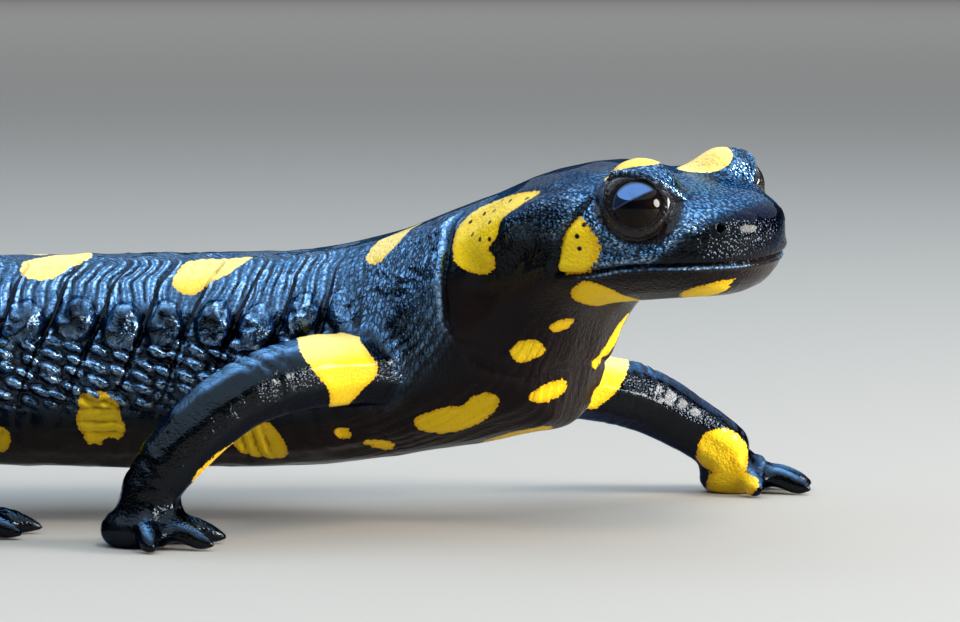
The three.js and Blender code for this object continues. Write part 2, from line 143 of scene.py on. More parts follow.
HEAD_TURN = Euler(np.radians((4.2, -4, -35)), "XYZ").to_matrix()
EYE_MIDPOINT = Vector((15.0, -11.9, 25.2))      # in the frame of the lines given below
SNOUT_TIP = 7.45                    # place of the front end of the axis
AXIS_BELOW_EYES = 2.3
HEAD_STATIONS = (SNOUT_TIP, 4, 0, -4, -7.5)
AXIS_POINTS = [
    (3.6, -3.6, 19.2), (-3.5, -0.6, 14.9), (-12, 1.0, 12.6), (-24, 1.6, 12.1), (-38, 0.2, 12.1),
    (-50, -3.0, 11.8), (-58, -6.2, 10.6), (-68, -10.4, 7.2), (-80, -13.6, 3.8), (-93, -13.2, 2.78),
    (-106, -7.6, 2.14), (-117, 1.0, 1.66), (-122.5, 9.0, 1.22),
]
AXIS_SAMPLES = 40                   # on each stretch between two points
TRUNK_RADIUS = 9.2
DEGREE = 0.162                      # millimetres of skin across the trunk for each degree
LATTICE = 32                        # cells along each side of the random field, which repeats

eyes_middle = (eye_centres["eye_left"] + eye_centres["eye_right"]) / 2 / MM
body_shift = eyes_middle - EYE_MIDPOINT


def smooth_curve(points, samples):
    # Centripetal Catmull-Rom curve through the points.
    ends = [2 * points[0] - points[1], *points, 2 * points[-1] - points[-2]]
    curve = []
    for a, b, c, d in zip(ends, ends[1:], ends[2:], ends[3:]):
        step_in, step, step_out = (np.sqrt(np.linalg.norm(q - p)) for p, q in ((a, b), (b, c), (c, d)))
        slope_b = ((b - a) / step_in - (c - a) / (step_in + step) + (c - b) / step) * step
        slope_c = ((c - b) / step - (d - b) / (step + step_out) + (d - c) / step_out) * step
        t = np.linspace(0, 1, samples, endpoint=False)[:, None]
        curve.append(b + slope_b * t + (3 * (c - b) - 2 * slope_b - slope_c) * t**2
                     + (2 * (b - c) + slope_b + slope_c) * t**3)
    return np.vstack([*curve, points[-1]])


def unit(vectors):
    return vectors / np.linalg.norm(vectors, axis=-1, keepdims=True)


def tree_of(points):
    # Finds the nearest of the points quickly.
    tree = kdtree.KDTree(len(points))
    for i, point in enumerate(points):
        tree.insert(point, i)
    tree.balance()
    return tree


def head_places(points):
    # Forward, left and up from the point midway between the eyes.
    return (points - np.array(eyes_middle)) @ np.array(HEAD_TURN)


head_axis = [eyes_middle + HEAD_TURN @ Vector((forward, 0, -AXIS_BELOW_EYES))
             for forward in HEAD_STATIONS]
trunk_axis = [Vector(point) + body_shift for point in AXIS_POINTS]
axis = smooth_curve([np.array(point) for point in head_axis + trunk_axis], AXIS_SAMPLES)
axis_forward = unit(-np.gradient(axis, axis=0))
axis_left = unit(np.cross((0, 0, 1), axis_forward))
axis_up = np.cross(axis_forward, axis_left)
axis_place = SNOUT_TIP - np.append(0, np.cumsum(np.linalg.norm(np.diff(axis, axis=0), axis=1)))
axis_tree = tree_of(axis)


def body_places(points):
    # Place along the body, offset to the left and offset upwards.
    nearest = np.array([axis_tree.find(point)[1] for point in points])
    offset = points - axis[nearest]
    along = np.einsum("ij,ij->i", offset, axis_forward[nearest])
    left = np.einsum("ij,ij->i", offset, axis_left[nearest])
    up = np.einsum("ij,ij->i", offset, axis_up[nearest])
    return axis_place[nearest] + along, left, up


def line_through(*points):
    return smooth_curve(np.array(points, float), 4)


def distance_to_line(spots, line):
    # Distance from each spot to a line of straight steps, and how far along it, from 0 to 1.
    best = np.full(len(spots), np.inf)
    along = np.zeros(len(spots))
    steps = len(line) - 1
    for i, (start, end) in enumerate(zip(line, line[1:])):
        span = end - start
        share = np.clip((spots - start) @ span / (span @ span), 0, 1)
        distance = np.linalg.norm(spots - start - share[:, None] * span, axis=1)
        nearer = distance < best
        best[nearer] = distance[nearer]
        along[nearer] = (i + share[nearer]) / steps
    return best, along


def ramp(low, high, value):
    # Smooth rise from 0 at low to 1 at high.
    share = np.clip((value - low) / (high - low), 0, 1)
    return share * share * (3 - 2 * share)


def band(value, start, full, fading, end):
    # Smooth rise from 0 at the start to 1 where it is full, and back to 0 at the end.
    return ramp(start, full, value) * ramp(end, fading, value)


def bell(value, width):
    return np.exp(-((value / width) ** 2))


def at_lines(count, width):
    # 1 on each line of a count that grows by one from line to line, 0 between them.
    return bell(count - np.round(count), width)


def from_middle(spots, middle, half_sizes):
    # 0 in the middle of an ellipsoid and 1 on its surface.
    return np.linalg.norm((spots - middle) / half_sizes, axis=1)


chance = np.random.default_rng(11)
lattice = chance.uniform(-1, 1, (LATTICE, LATTICE, LATTICE))


def lumps(spots, size):
    # Soft random field from about -1 to 1, with lumps of this size.
    cell = np.asarray(spots) / size
    low = np.floor(cell).astype(int)
    part = cell - low
    part = part * part * (3 - 2 * part)
    total = 0
    for corner in np.ndindex(2, 2, 2):
        share = np.prod(np.where(corner, part, 1 - part), axis=-1)
        i, j, k = ((low + corner) % LATTICE).T
        total = total + share * lattice[i, j, k]
    return total


class Places:
    # Where each point of the skin lies, in the body's terms and in the head's.
    def __init__(self, points):
        self.points = points
        self.place, self.left, self.up = body_places(points)
        self.side = np.degrees(np.arctan2(np.abs(self.left), self.up))     # 0 spine, 180 belly
        self.hand = np.sign(self.left)
        self.girth = np.hypot(self.left, self.up)
        self.down = np.radians(self.side) * TRUNK_RADIUS
        self.head = head_places(points)             # forward, away from the middle, and up
        self.head[:, 1] = np.abs(self.head[:, 1])
        self.unbent = np.column_stack([self.place, self.left, self.up])
        self.on_head = ramp(-9, -6.5, self.head[:, 0]) * ramp(-13, -9.5, self.head[:, 2])


# ---- Skin: limbs told from the body -----------------------------------------------
# The four limbs grow out of the trunk behind the neck and in front of the tail. Their wrinkles run
# across them, so each point also has a distance down its limb, on through palm and digit.

LIMB_LINES = [
    [(-6.2, -5.2, 12.0), (-10.4, -9.8, 12.4), (-17.4, -15.4, 11.0), (-21.6, -17.2, 7.6),
     (-24.2, -17.6, 4.2), (-25.0, -17.6, 1.25)],
    [(0.5, 4.6, 10.8), (6.2, 9.4, 9.9), (12.8, 13.6, 7.9), (16.8, 14.9, 5.5),
     (19.4, 15.7, 3.4), (20.6, 16.4, 1.25)],
    [(-53.4, -6.6, 10.8), (-50.2, -11.6, 11.8), (-47.2, -14.6, 11.3), (-45.0, -14.8, 8.6),
     (-43.4, -13.6, 6.0), (-42.0, -12.2, 3.6), (-40.6, -11.4, 1.25)],
    [(-55.5, 0.0, 11.0), (-57.4, 7.6, 11.6), (-59.4, 12.4, 10.8), (-62.4, 14.6, 8.4),
     (-65.2, 15.8, 5.8), (-67.4, 16.8, 3.6), (-67.4, 18.4, 1.25)],
]
LIMB_PARTS = ("upper_arm", "forearm", "hand", "finger", "thigh", "shin", "foot", "toe")
LIMB_SAMPLES = 24                   # on each stretch between two points
LIMB_CLEAR = 0.2                    # skin this far off the body may belong to a limb
UPPER_LENGTH, UPPER_RADIUS = 12, 5.2    # the upper limb's skin lies near the limb's line
ELBOW, WRIST = 14.5, 24.5           # distances down a limb

limb_samples = []
for line in LIMB_LINES:
    line = smooth_curve([np.array(point) + np.array(body_shift) for point in line], LIMB_SAMPLES)
    reach = np.append(0, np.cumsum(np.linalg.norm(np.diff(line, axis=0), axis=1)))
    limb_samples.append((line, reach))
limb_points = np.vstack([line for line, _ in limb_samples])
limb_reach = np.concatenate([reach for _, reach in limb_samples])
limb_ends = np.concatenate([np.full(len(line), reach[-1]) for line, reach in limb_samples])
limb_tree = tree_of(limb_points)

body_mesh = bmesh.new()
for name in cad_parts:
    if not name.startswith(LIMB_PARTS):
        body_mesh.from_mesh(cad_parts[name].data)
body_tree = BVHTree.FromBMesh(body_mesh)
body_mesh.free()


def limb_places(points):
    # Share of limb in the skin, 0 on the body, the distance down the limb and the offset from it.
    share = np.zeros(len(points))
    reach = np.zeros(len(points))
    offset = np.zeros((len(points), 3))
    for i, point in enumerate(points):
        away = body_tree.find_nearest(Vector(point) * MM)[3] / MM
        if away > LIMB_CLEAR:
            nearest = limb_tree.find(point)[1]
            beyond = np.linalg.norm(point - limb_points[nearest])
            at_end = limb_reach[nearest] >= limb_ends[nearest] - 0.01
            lower = limb_reach[nearest] > UPPER_LENGTH
            share[i] = away if lower else away * np.clip(UPPER_RADIUS - beyond, 0, 1)
            reach[i] = limb_reach[nearest] + (beyond if at_end else 0)
            offset[i] = point - limb_points[nearest]
    return ramp(0.3, 1.3, share), reach, offset


# ---- Skin: ribs, warts and grains of the trunk ------------------------------------
# The hide is drawn in between the ribs, in grooves that lean forward towards the spine. Each rib
# carries a big round gland wart high on the flank, with rows of oval grains below it.

RIB_PITCH = 3.95
FIRST_RIB_GROOVE = -26.6            # its place on the groove side,
GROOVE_SIDE = 63                    # which is in degrees from the spine
RIB_LEAN = 0.065                    # millimetres forward for each degree towards the spine
GROOVE_DEEP, GROOVE_WIDE = 0.3, 0.18
WART_SIDE, WART_LEAN = 69, 0.045    # degrees of its crown, and millimetres forward for each
WART_LONG, WART_PROUD = 1.6, 1.05
WART_OVER, WART_UNDER = 2.3, 1.8    # half heights above and below its crown
WART_ROUNDNESS = 2.1                # 2 makes an oval, more a squarer outline
GRAIN_LONG, GRAIN_TALL, GRAIN_PROUD = 2.1, 0.94, 0.66
GRAIN_TILT = -0.22                  # drop of each row towards the head
FOLD_PITCH = 1.0                    # of the fine folds over the back
FLANK_FOLDS, FLANK_FOLDS_PLACE = (108.5, 116, 122.5), -50.2      # degrees, and their middle
ARMPIT_FOLDS, ARMPIT_FOLDS_SIDE = (-38.6, -37.7, -36.8), 133     # places, and their middle


def along_trunk(at):
    return band(at.place, -26, -30.5, -66, -74)


def rib_places(at):
    # Place along the body as the ribs lean, counts of rib grooves and back folds, and their warp.
    leaning = at.place - RIB_LEAN * (GROOVE_SIDE - at.side) * ramp(0, 30, at.side)
    leaning = leaning + 0.35 * lumps(at.unbent * (0.5, 1, 1), 4.0)
    fold_warp = 0.5 * lumps(at.unbent, 3.0) + 0.2 * lumps(at.unbent, 1.1)
    back_fold = (leaning + 0.02 * (60 - at.side)) / FOLD_PITCH + fold_warp
    return leaning, (FIRST_RIB_GROOVE - leaning) / RIB_PITCH, back_fold, fold_warp


at = Places(points_of(skin))
limb_share, limb_place, _ = limb_places(at.points)
body_share = 1 - limb_share
on_trunk = along_trunk(at) * body_share

# The straight grooves of the body's plain lengths are filled before the leaning ones are cut.
rib_count = (FIRST_RIB_GROOVE - at.place) / RIB_PITCH
near_groove = np.abs(rib_count - np.round(rib_count)) * RIB_PITCH
straight = np.clip(1 - near_groove / (RIB_PITCH / 3), 0, 1) * ramp(127, 115, at.side)
straight *= ((rib_count > -0.6) & (rib_count < 10.5)) * body_share
rise = 0.2 * straight * np.abs(np.sin(np.radians(at.side)))

leaning, rib, back_fold, fold_warp = rib_places(at)
from_groove = (rib - np.round(rib)) * RIB_PITCH
groove_share = on_trunk * band(at.side, 8, 34, 96, 128)
groove = bell(from_groove, GROOVE_WIDE) * groove_share
rise -= GROOVE_DEEP * groove * (0.5 + 0.5 * bell(at.side - 66, 16))
rise += 0.13 * bell(from_groove + 0.42, 0.16) * groove_share * ramp(100, 84, at.side)
rise += 0.1 * np.cos(2 * np.pi * (rib - 0.5)) * groove_share * ramp(40, 60, at.side)

rib_middle = np.floor(rib) + 0.5
pick = (rib_middle % LATTICE).astype(int)
along_wart = (rib - rib_middle) * RIB_PITCH + 0.25 * lattice[3, 5, pick]
along_wart -= WART_LEAN * (WART_SIDE - at.side)
down_wart = (at.side - WART_SIDE - 3 * lattice[7, 2, pick]) * DEGREE
long = WART_LONG * (1 + 0.12 * lattice[9, 4, pick])
tall = np.where(down_wart < 0, WART_OVER, WART_UNDER)
wart = 1 - (np.abs(along_wart) / long) ** WART_ROUNDNESS - (np.abs(down_wart) / tall) ** WART_ROUNDNESS
wart = np.clip(wart, 0, 1)
wart = wart ** (0.58 + 1.0 * ramp(0.5, -1.8, down_wart))
wart_share = on_trunk * (rib > -0.4)
pitted = 1 + 0.26 * lumps(at.unbent, 0.9) + 0.2 * lumps(at.unbent, 0.45)
rise += WART_PROUD * wart * wart_share * pitted

# Fine folds that slant over the back like shingles, four to a rib.
shingle = back_fold - np.floor(back_fold)
shingle = np.where(shingle < 0.8, shingle / 0.8, (1 - shingle) / 0.2)
fold_share = on_trunk * band(at.side, 4, 20, 56, 70)
rise += (0.13 + 0.1 * lumps(at.unbent, 3.4)) * (shingle - 0.5) * fold_share


def grains(along, down, long, tall):
    # Oval grains in staggered rows: 0 between them and 1 on their crowns.
    crown = np.zeros(len(along))
    for row in (np.floor(down / tall) + step for step in (-1, 0, 1)):
        slide = lattice[1, 2, (row % LATTICE).astype(int)] * 0.5 + 0.5 * (row % 2)
        for column in (np.floor(along / long + slide) + step for step in (-1, 0, 1)):
            pick = ((row % LATTICE).astype(int), (column % LATTICE).astype(int))
            middle = (column + 0.5 - slide + 0.16 * lattice[(5, *pick)]) * long
            level = (row + 0.5 + 0.2 * lattice[(6, *pick)]) * tall
            half_long = long * (0.5 + 0.08 * lattice[(8, *pick)])
            half_tall = tall * (0.42 + 0.07 * lattice[(12, *pick)])
            tip = -0.12 * (along - middle)
            reach = ((along - middle) / half_long) ** 2 + ((down - level + tip) / half_tall) ** 2
            height = 0.8 + 0.35 * lattice[(13, *pick)]
            height = height * (1 - 0.3 * (down - level) / half_tall)
            crown = np.maximum(crown, height * np.sqrt(np.clip(1 - reach, 0, 1)))
    return crown


def patches(along, down):
    # How far inside its own patch of hide a point lies: 0 on the crease between two patches.
    first = np.full(len(along), np.inf)
    second = first
    for row in (np.floor(down) + step for step in (-1, 0, 1)):
        for column in (np.floor(along) + step for step in (-1, 0, 1)):
            pick = ((row % LATTICE).astype(int), (column % LATTICE).astype(int))
            distance = np.hypot(along - column - 0.5 - 0.4 * lattice[(14, *pick)],
                                down - row - 0.5 - 0.4 * lattice[(15, *pick)])
            second = np.minimum(second, np.maximum(first, distance))
            first = np.minimum(first, distance)
    return second - first


grain_down = at.down + GRAIN_TILT * leaning
grain = grains(leaning + 0.3 * fold_warp, grain_down, GRAIN_LONG, GRAIN_TALL)
grain_share = on_trunk * band(at.side, 73, 80, 101, 114)
rise += GRAIN_PROUD * (grain - 0.35) * grain_share * (1 - 0.9 * np.clip(wart * 3, 0, 1))

# Soft upright creases on the belly side, rings round the tail, short level folds low on the
# flank and upright ones behind the arm.
crease = (at.place + 0.6 * lumps(at.unbent, 4.0)) / 1.5
crease_share = ramp(-24, -28, at.place) * band(at.side, 100, 118, 135, 165) * body_share
rise -= 0.1 * at_lines(crease, 0.16) * crease_share
tail_share = band(at.place, -68, -76, -140, -150) * body_share
ring = (at.place + 0.5 * lumps(at.unbent, 5.0)) / 2.6
rise -= 0.22 * at_lines(ring, 0.13) * tail_share * ramp(10, 40, at.side)
rise += 0.1 * lumps(at.unbent * (1, 1.6, 1.6), 1.6) * (on_trunk + tail_share)
for side in FLANK_FOLDS:
    fold = bell((at.side - side) * DEGREE + 0.15 * lumps(at.unbent, 1.2), 0.13)
    rise -= 0.3 * fold * bell(at.place - FLANK_FOLDS_PLACE, 2.2) * body_share
for place in ARMPIT_FOLDS:
    fold = bell(at.place - place - 0.02 * (at.side - 132), 0.14)
    rise -= 0.34 * fold * bell(at.side - ARMPIT_FOLDS_SIDE, 13) * body_share
swell(skin, rise)

# ---- Skin: neck, throat and shoulders ---------------------------------------------
# A loose fold hangs behind the neck glands, where the leathery hide of the shoulders laps over
# the smooth neck. A second one crosses the throat under it.

NECK_FOLD = line_through((-15.6, 5.6), (-16.2, 7.9), (-16.7, 10.6), (-17.9, 12.8), (-19.4, 15.7))
THROAT_FOLD = line_through((-19.4, 19.4), (-17.8, 21.7), (-16.1, 23.4), (-13.8, 25.4), (-13.2, 29.5))
THIN_FOLD = line_through((-19.3, 17.3), (-18.1, 19.3), (-16.3, 20.6))
NECK_FOLD_PROUD, NECK_FOLD_DEEP = 0.4, 0.4


def behind_neck_fold(at):
    return np.interp(at.down, NECK_FOLD[:, 1], NECK_FOLD[:, 0]) - at.place


at = Places(points_of(skin))
flat = np.column_stack([at.place, at.down])
behind_fold = behind_neck_fold(at)
at_neck = band(at.down, 5, 8, 14.5, 17.5) * body_share
rise = NECK_FOLD_PROUD * np.exp(-np.clip(behind_fold - 0.3, 0, None) / 2.2)
rise *= ramp(-0.1, 0.35, behind_fold) * at_neck
rise -= NECK_FOLD_DEEP * bell(behind_fold, 0.28) * at_neck
for line, depth, width in ((THROAT_FOLD, 0.2, 0.24), (THIN_FOLD, 0.1, 0.2)):
    near, _ = distance_to_line(flat, line)
    rise += (0.5 * depth * bell(near - 1.2, 1.1) - depth * bell(near, width)) * body_share

# The shoulders' leather: small plates above, slanting creases below them.
leather = ramp(0.2, 1.5, behind_fold) * ramp(-33, -25, at.place) * body_share
leather *= band(at.down, 3, 7, 17, 21)
drift = 0.4 * lumps(at.unbent, 2.0)
across_hatch = at.place * 0.77 + at.down * 0.64
plate = patches((at.place * 0.64 - at.down * 0.77) / 1.6 + drift, across_hatch / 0.85 + drift)
rise -= 0.12 * ramp(0.32, 0, plate) * leather * ramp(14, 10, at.down)
slant = (at.down * 0.95 + at.place * 0.3 + 0.5 * lumps(at.unbent, 2.2)) / 0.9
rise -= 0.16 * at_lines(slant, 0.16) * leather * ramp(12.5, 15, at.down)
rise += 0.16 * lumps(at.unbent, 2.6) * leather

# Fine streaks that hang round the throat and chest.
hang = band(at.place, -10, -14, -28, -34) * body_share * ramp(112, 125, at.side)
stream = (at.down + 0.12 * at.place + 0.6 * lumps(at.unbent, 4.5)) / 0.85
rise -= 0.07 * at_lines(stream, 0.18) * hang
swell(skin, rise)

# ---- Skin: limbs ------------------------------------------------------------------
# Thin skin that wrinkles across the joints, in rings at the elbow and the wrist. The right arm is
# slim below the shoulder, and the left one thins at the upper arm and widens to its wrist.

points = points_of(skin)
normals = normals_of(skin)
ring_warp = 0.35 * lumps(points, 2.0) + 0.18 * lumps(points, 0.8)
ring = (limb_place + 1.4 * ring_warp) / 1.25
joints = 0.12 + 1.1 * bell(limb_place - ELBOW, 2.2) + 0.7 * bell(limb_place - WRIST, 1.8)
uneven = 0.5 + 0.8 * lumps(points + 7, 2.4)
facing_up = ramp(-0.3, 0.6, normals[:, 2])
rise = -0.2 * at_lines(ring, 0.17) * joints * uneven * limb_share * (0.35 + 0.65 * facing_up)
rise += 0.05 * lumps(points, 1.6) * limb_share
right_arm = (points[:, 1] < 0) & (points[:, 0] > 30)
rise -= 0.4 * right_arm * facing_up * bell(limb_place - 5, 2.5) * limb_share
left_arm = (points[:, 1] > 0) & (points[:, 0] > 50)
facing_up = ramp(-0.2, 0.6, normals[:, 2])
rise -= 0.75 * left_arm * facing_up * bell(limb_place - 9, 4.5) * limb_share
leading = ramp(-0.1, 0.8, normals @ (0.8, 0, 0.6)) * ramp(2, 4.5, points[:, 2])
rise += 0.6 * left_arm * leading * bell(limb_place - WRIST + 0.5, 3.2) * limb_share
rise += 0.6 * left_arm * facing_up * bell(limb_place - WRIST - 3, 1.5) * limb_share
swell(skin, rise)

# ---- Skin: lips, nostrils, glands and lids ----------------------------------------
# The face is tight and finely pebbled. The lips meet in a long level line, the neck glands stand
# out behind the eyes, and the eyes bulge through almond openings with a thick lower lid.

LIP_LINE = line_through((7.6, -4.85), (5.3, -4.45), (2.5, -4.2), (-0.4, -4.1), (-2.4, -4.3), (-4, -4.4),
                        (-5.8, -4.35), (-7, -4.9))
LIP_CORNER = -6.3
NOSTRIL = np.array((5.9, 4.5, -1.9))
CHEEK_FOLD = line_through((-3.2, 6.9, 1.4), (-4.1, 8.3, -0.1), (-4.9, 9, -1.2), (-5.6, 9, -2.5),
                          (-5.8, 9, -3.4), (-6.2, 8.3, -4.9))
GLAND_RIDGE = line_through((-4, 6.5, 1.5), (-5.9, 7.5, 1), (-7.2, 8.1, 0.6), (-9.1, 8.6, -0.4),
                           (-11.2, 8.5, -1.1))
GLAND_HOLLOW = line_through((-6.5, 8.8, -2.2), (-8.5, 9, -3.2), (-10.5, 8.8, -4.6), (-13, 8.3, -5.6))
EYE_AXIS = unit(np.array((0.45, 0.87, 0.12)))
EYE_FORWARD = unit(np.array((1, 0, 0)) - EYE_AXIS[0] * EYE_AXIS)
EYE_UP = np.cross(EYE_FORWARD, EYE_AXIS)
EYE_CENTRE = head_places(np.array(eye_centres["eye_left"] / MM)[None])[0]
OPENING = (0.15, 0.3, 1.95)         # forward, up and radius of the bare eye
ORBIT_HALF_LONG, ORBIT_OVER, ORBIT_UNDER = 3.45, 1.5, 3.55
EYE_REACH = 6                       # no lid is farther than this from the middle of the eye


def cut_finer(piece, near):
    # Splits the edges near the fine features, so that they hold a crisp form.
    mesh = bmesh.new()
    mesh.from_mesh(piece.data)
    mesh.verts.ensure_lookup_table()
    chosen = [edge for edge in mesh.edges if near[edge.verts[0].index] and near[edge.verts[1].index]]
    bmesh.ops.subdivide_edges(mesh, edges=chosen, cuts=1, use_grid_fill=True)
    bmesh.ops.triangulate(mesh, faces=[face for face in mesh.faces if len(face.verts) > 4])
    mesh.to_mesh(piece.data)
    mesh.free()
    piece.data.update()


def eye_places(head):
    # Forward, up and outward from the middle of the eye, along its own axes.
    from_eye = head - EYE_CENTRE
    return from_eye @ EYE_FORWARD, from_eye @ EYE_UP, from_eye @ EYE_AXIS


def orbit_rim(forward, upward):
    # 1 on the orbit's almond outline, and less inside it.
    tall = upward - (0.8 - 0.2 * forward)
    power = np.where(tall > 0, 1.5, 2.0)
    half_tall = np.where(tall > 0, ORBIT_OVER, ORBIT_UNDER)
    return (np.abs((forward + 0.05) / ORBIT_HALF_LONG) ** power
            + np.abs(tall / half_tall) ** power) ** (1 / power)


def over_lips(head):
    return head[:, 2] - np.interp(head[:, 0], LIP_LINE[::-1, 0], LIP_LINE[::-1, 1])


at = Places(points_of(skin))
forward, upward, outward = eye_places(at.head)
fine = (np.abs(over_lips(at.head)) < 0.7) & (at.head[:, 0] > LIP_CORNER - 0.6) & (at.head[:, 2] > -6)
fine |= (np.hypot(forward, upward) < 4.0) & (outward > 0)
fine |= np.linalg.norm(at.head - NOSTRIL, axis=1) < 1.0
cut_finer(skin, fine)

at = Places(points_of(skin))
head = at.head
on_face = ramp(-20, -16, head[:, 0]) * ramp(-13, -11, head[:, 2])
rise = np.zeros(len(head))
near, along = distance_to_line(head, CHEEK_FOLD)
rise -= 0.55 * bell(near, 0.36) * band(along, 0, 0.12, 0.9, 1)
near, along = distance_to_line(head, GLAND_RIDGE)
rise += 0.42 * bell(near, 0.95) * band(along, 0, 0.2, 0.8, 1)
near, along = distance_to_line(head, GLAND_HOLLOW)
rise -= 0.4 * bell(near, 1.3)
crest = from_middle(head, (-0.6, 4.8, 3.0), (3.4, 2.2, 1.6))
rise += np.where(at.hand < 0, 0.4, 0.15) * bell(crest, 0.9)
behind_lid = from_middle(head, (-2.0, 4.6, 3.9), (2.0, 2.2, 1.7))
over_lid = from_middle(head, (1.2, 4.8, 2.8), (1.6, 1.8, 1.4))
rise += np.where(at.hand > 0, 0.2 * bell(over_lid, 0.9) - 0.8 * bell(behind_lid, 0.9), 0)
swell(skin, rise * on_face)

at = Places(points_of(skin))
head = at.head
rise = np.zeros(len(head))
lip = over_lips(head)
at_lips = ramp(LIP_CORNER - 0.4, LIP_CORNER + 0.5, head[:, 0]) * (head[:, 2] > -9)
snout = ramp(5.5, 7.2, head[:, 0])
rise += (0.2 * (1 - snout) * bell(lip - 0.45, 0.42) + 0.13 * bell(lip + 0.32, 0.17)) * at_lips
rise -= 0.5 * bell(lip, 0.13) * at_lips
from_nostril = np.linalg.norm(head - NOSTRIL, axis=1)
nostril_ring = np.where(at.hand < 0, 0.22, 0.06)     # lower on the left nostril
rise += nostril_ring * bell(from_nostril - 0.44, 0.16) - 0.5 * ramp(0.34, 0.1, from_nostril)
swell(skin, rise)

# The lids: the bare eye's opening is pushed in behind the globe, and the orbit's rim stands proud.
points = points_of(skin)
at = Places(points)
forward, upward, outward = eye_places(at.head)
across = np.hypot(forward - OPENING[0], upward - OPENING[1])
rim = orbit_rim(forward, upward)
in_front = ramp(0, 0.6, outward)
from_eye = at.head - EYE_CENTRE
away = np.linalg.norm(from_eye, axis=1)
lid = EYE_RADIUS - 0.12 + 0.14 * bell(across - OPENING[2] - 0.38, 0.3)
lid = lid - 0.95 * ramp(OPENING[2] + 0.02, OPENING[2] - 0.24, across)
inside = ramp(1.04, 0.94, rim) * in_front * ramp(1.6, 0.8, np.abs(away - EYE_RADIUS))
target = away + (lid - away) * inside
target -= 0.3 * bell(rim - 1.0, 0.07) * in_front
target += 0.16 * bell(rim - 1.14, 0.1) * in_front * (0.6 + 0.8 * ramp(0.5, 2, upward))
head = EYE_CENTRE + from_eye * (target / away)[:, None]
head[:, 1] *= at.hand
near_eye = (away < EYE_REACH) & (at.hand != 0)
turned = head @ np.array(HEAD_TURN).T + np.array(eyes_middle)
points[near_eye] = turned[near_eye]
move_points(skin, points)

# ---- Skin: thinning ---------------------------------------------------------------
# The sculpted surface is thinned where it is smooth, and kept close where its relief is fine: on
# the head and the flanks first, then the limbs, then the tail and the belly.

FACE_LIMIT = 196000
CARE_STRENGTH = 0.05                # how strongly the care for fine relief acts

at = Places(points_of(skin))
limb_share, _, _ = limb_places(at.points)
trunk = ramp(-72, -62, at.place) * ramp(128, 112, at.side) * (1 - at.on_head)
care = 0.1 + 0.3 * at.on_head + 0.55 * trunk * (1 - limb_share) * np.where(at.hand < 0, 1, 0.7)
care += 0.18 * limb_share * ramp(-10, 10, at.points[:, 0])
group = skin.vertex_groups.new(name="care")
for tenth in range(11):
    chosen = np.nonzero(np.round(care * 10) == tenth)[0]
    group.add([int(i) for i in chosen], tenth / 10, "REPLACE")
faces = sum(len(polygon.vertices) - 2 for polygon in skin.data.polygons)
# The weights act on lengths, so the mesh is thinned at a thousand times its size.
move_points(skin, at.points / MM)
apply_modifier(skin, "DECIMATE", ratio=FACE_LIMIT / faces, vertex_group="care",
               vertex_group_factor=CARE_STRENGTH, invert_vertex_group=True)
move_points(skin, points_of(skin) * MM)
skin.vertex_groups.clear()

# ---- Skin: its markings -----------------------------------------------------------
# Yellow blotches lie in two loose rows along the back, with more on the flanks, throat and limbs,
# and one on each lid, gland and jaw. Their outlines are kept as a distance inside the edge.

MARK_REACH = 1.5                    # how far from an edge its distance is kept
MARK_SAMPLES = 6                    # on each stretch between two points of an outline


def ring_through(points):
    loop = [np.array(point, float) for point in (*points, *points[:3])]
    return smooth_curve(loop, MARK_SAMPLES)[MARK_SAMPLES:-MARK_SAMPLES - 1]


def inside(across, down, ring):
    # Distance inside a closed outline, negative outside it.
    low, high = ring.min(axis=0) - MARK_REACH, ring.max(axis=0) + MARK_REACH
    near = (across > low[0]) & (across < high[0]) & (down > low[1]) & (down < high[1])
    flat = np.column_stack([across[near], down[near]])
    distance, _ = distance_to_line(flat, np.vstack([ring, ring[:1]]))
    within = np.zeros(len(flat), bool)
    for start, end in zip(ring, np.roll(ring, -1, axis=0)):
        crosses = (start[1] > flat[:, 1]) != (end[1] > flat[:, 1])
        slope = (end[0] - start[0]) / (end[1] - start[1] + 1e-12)
        within ^= crosses & (flat[:, 0] < start[0] + (flat[:, 1] - start[1]) * slope)
    result = np.full(len(across), -MARK_REACH)
    result[near] = np.clip(np.where(within, distance, -distance), -MARK_REACH, MARK_REACH)
    return result


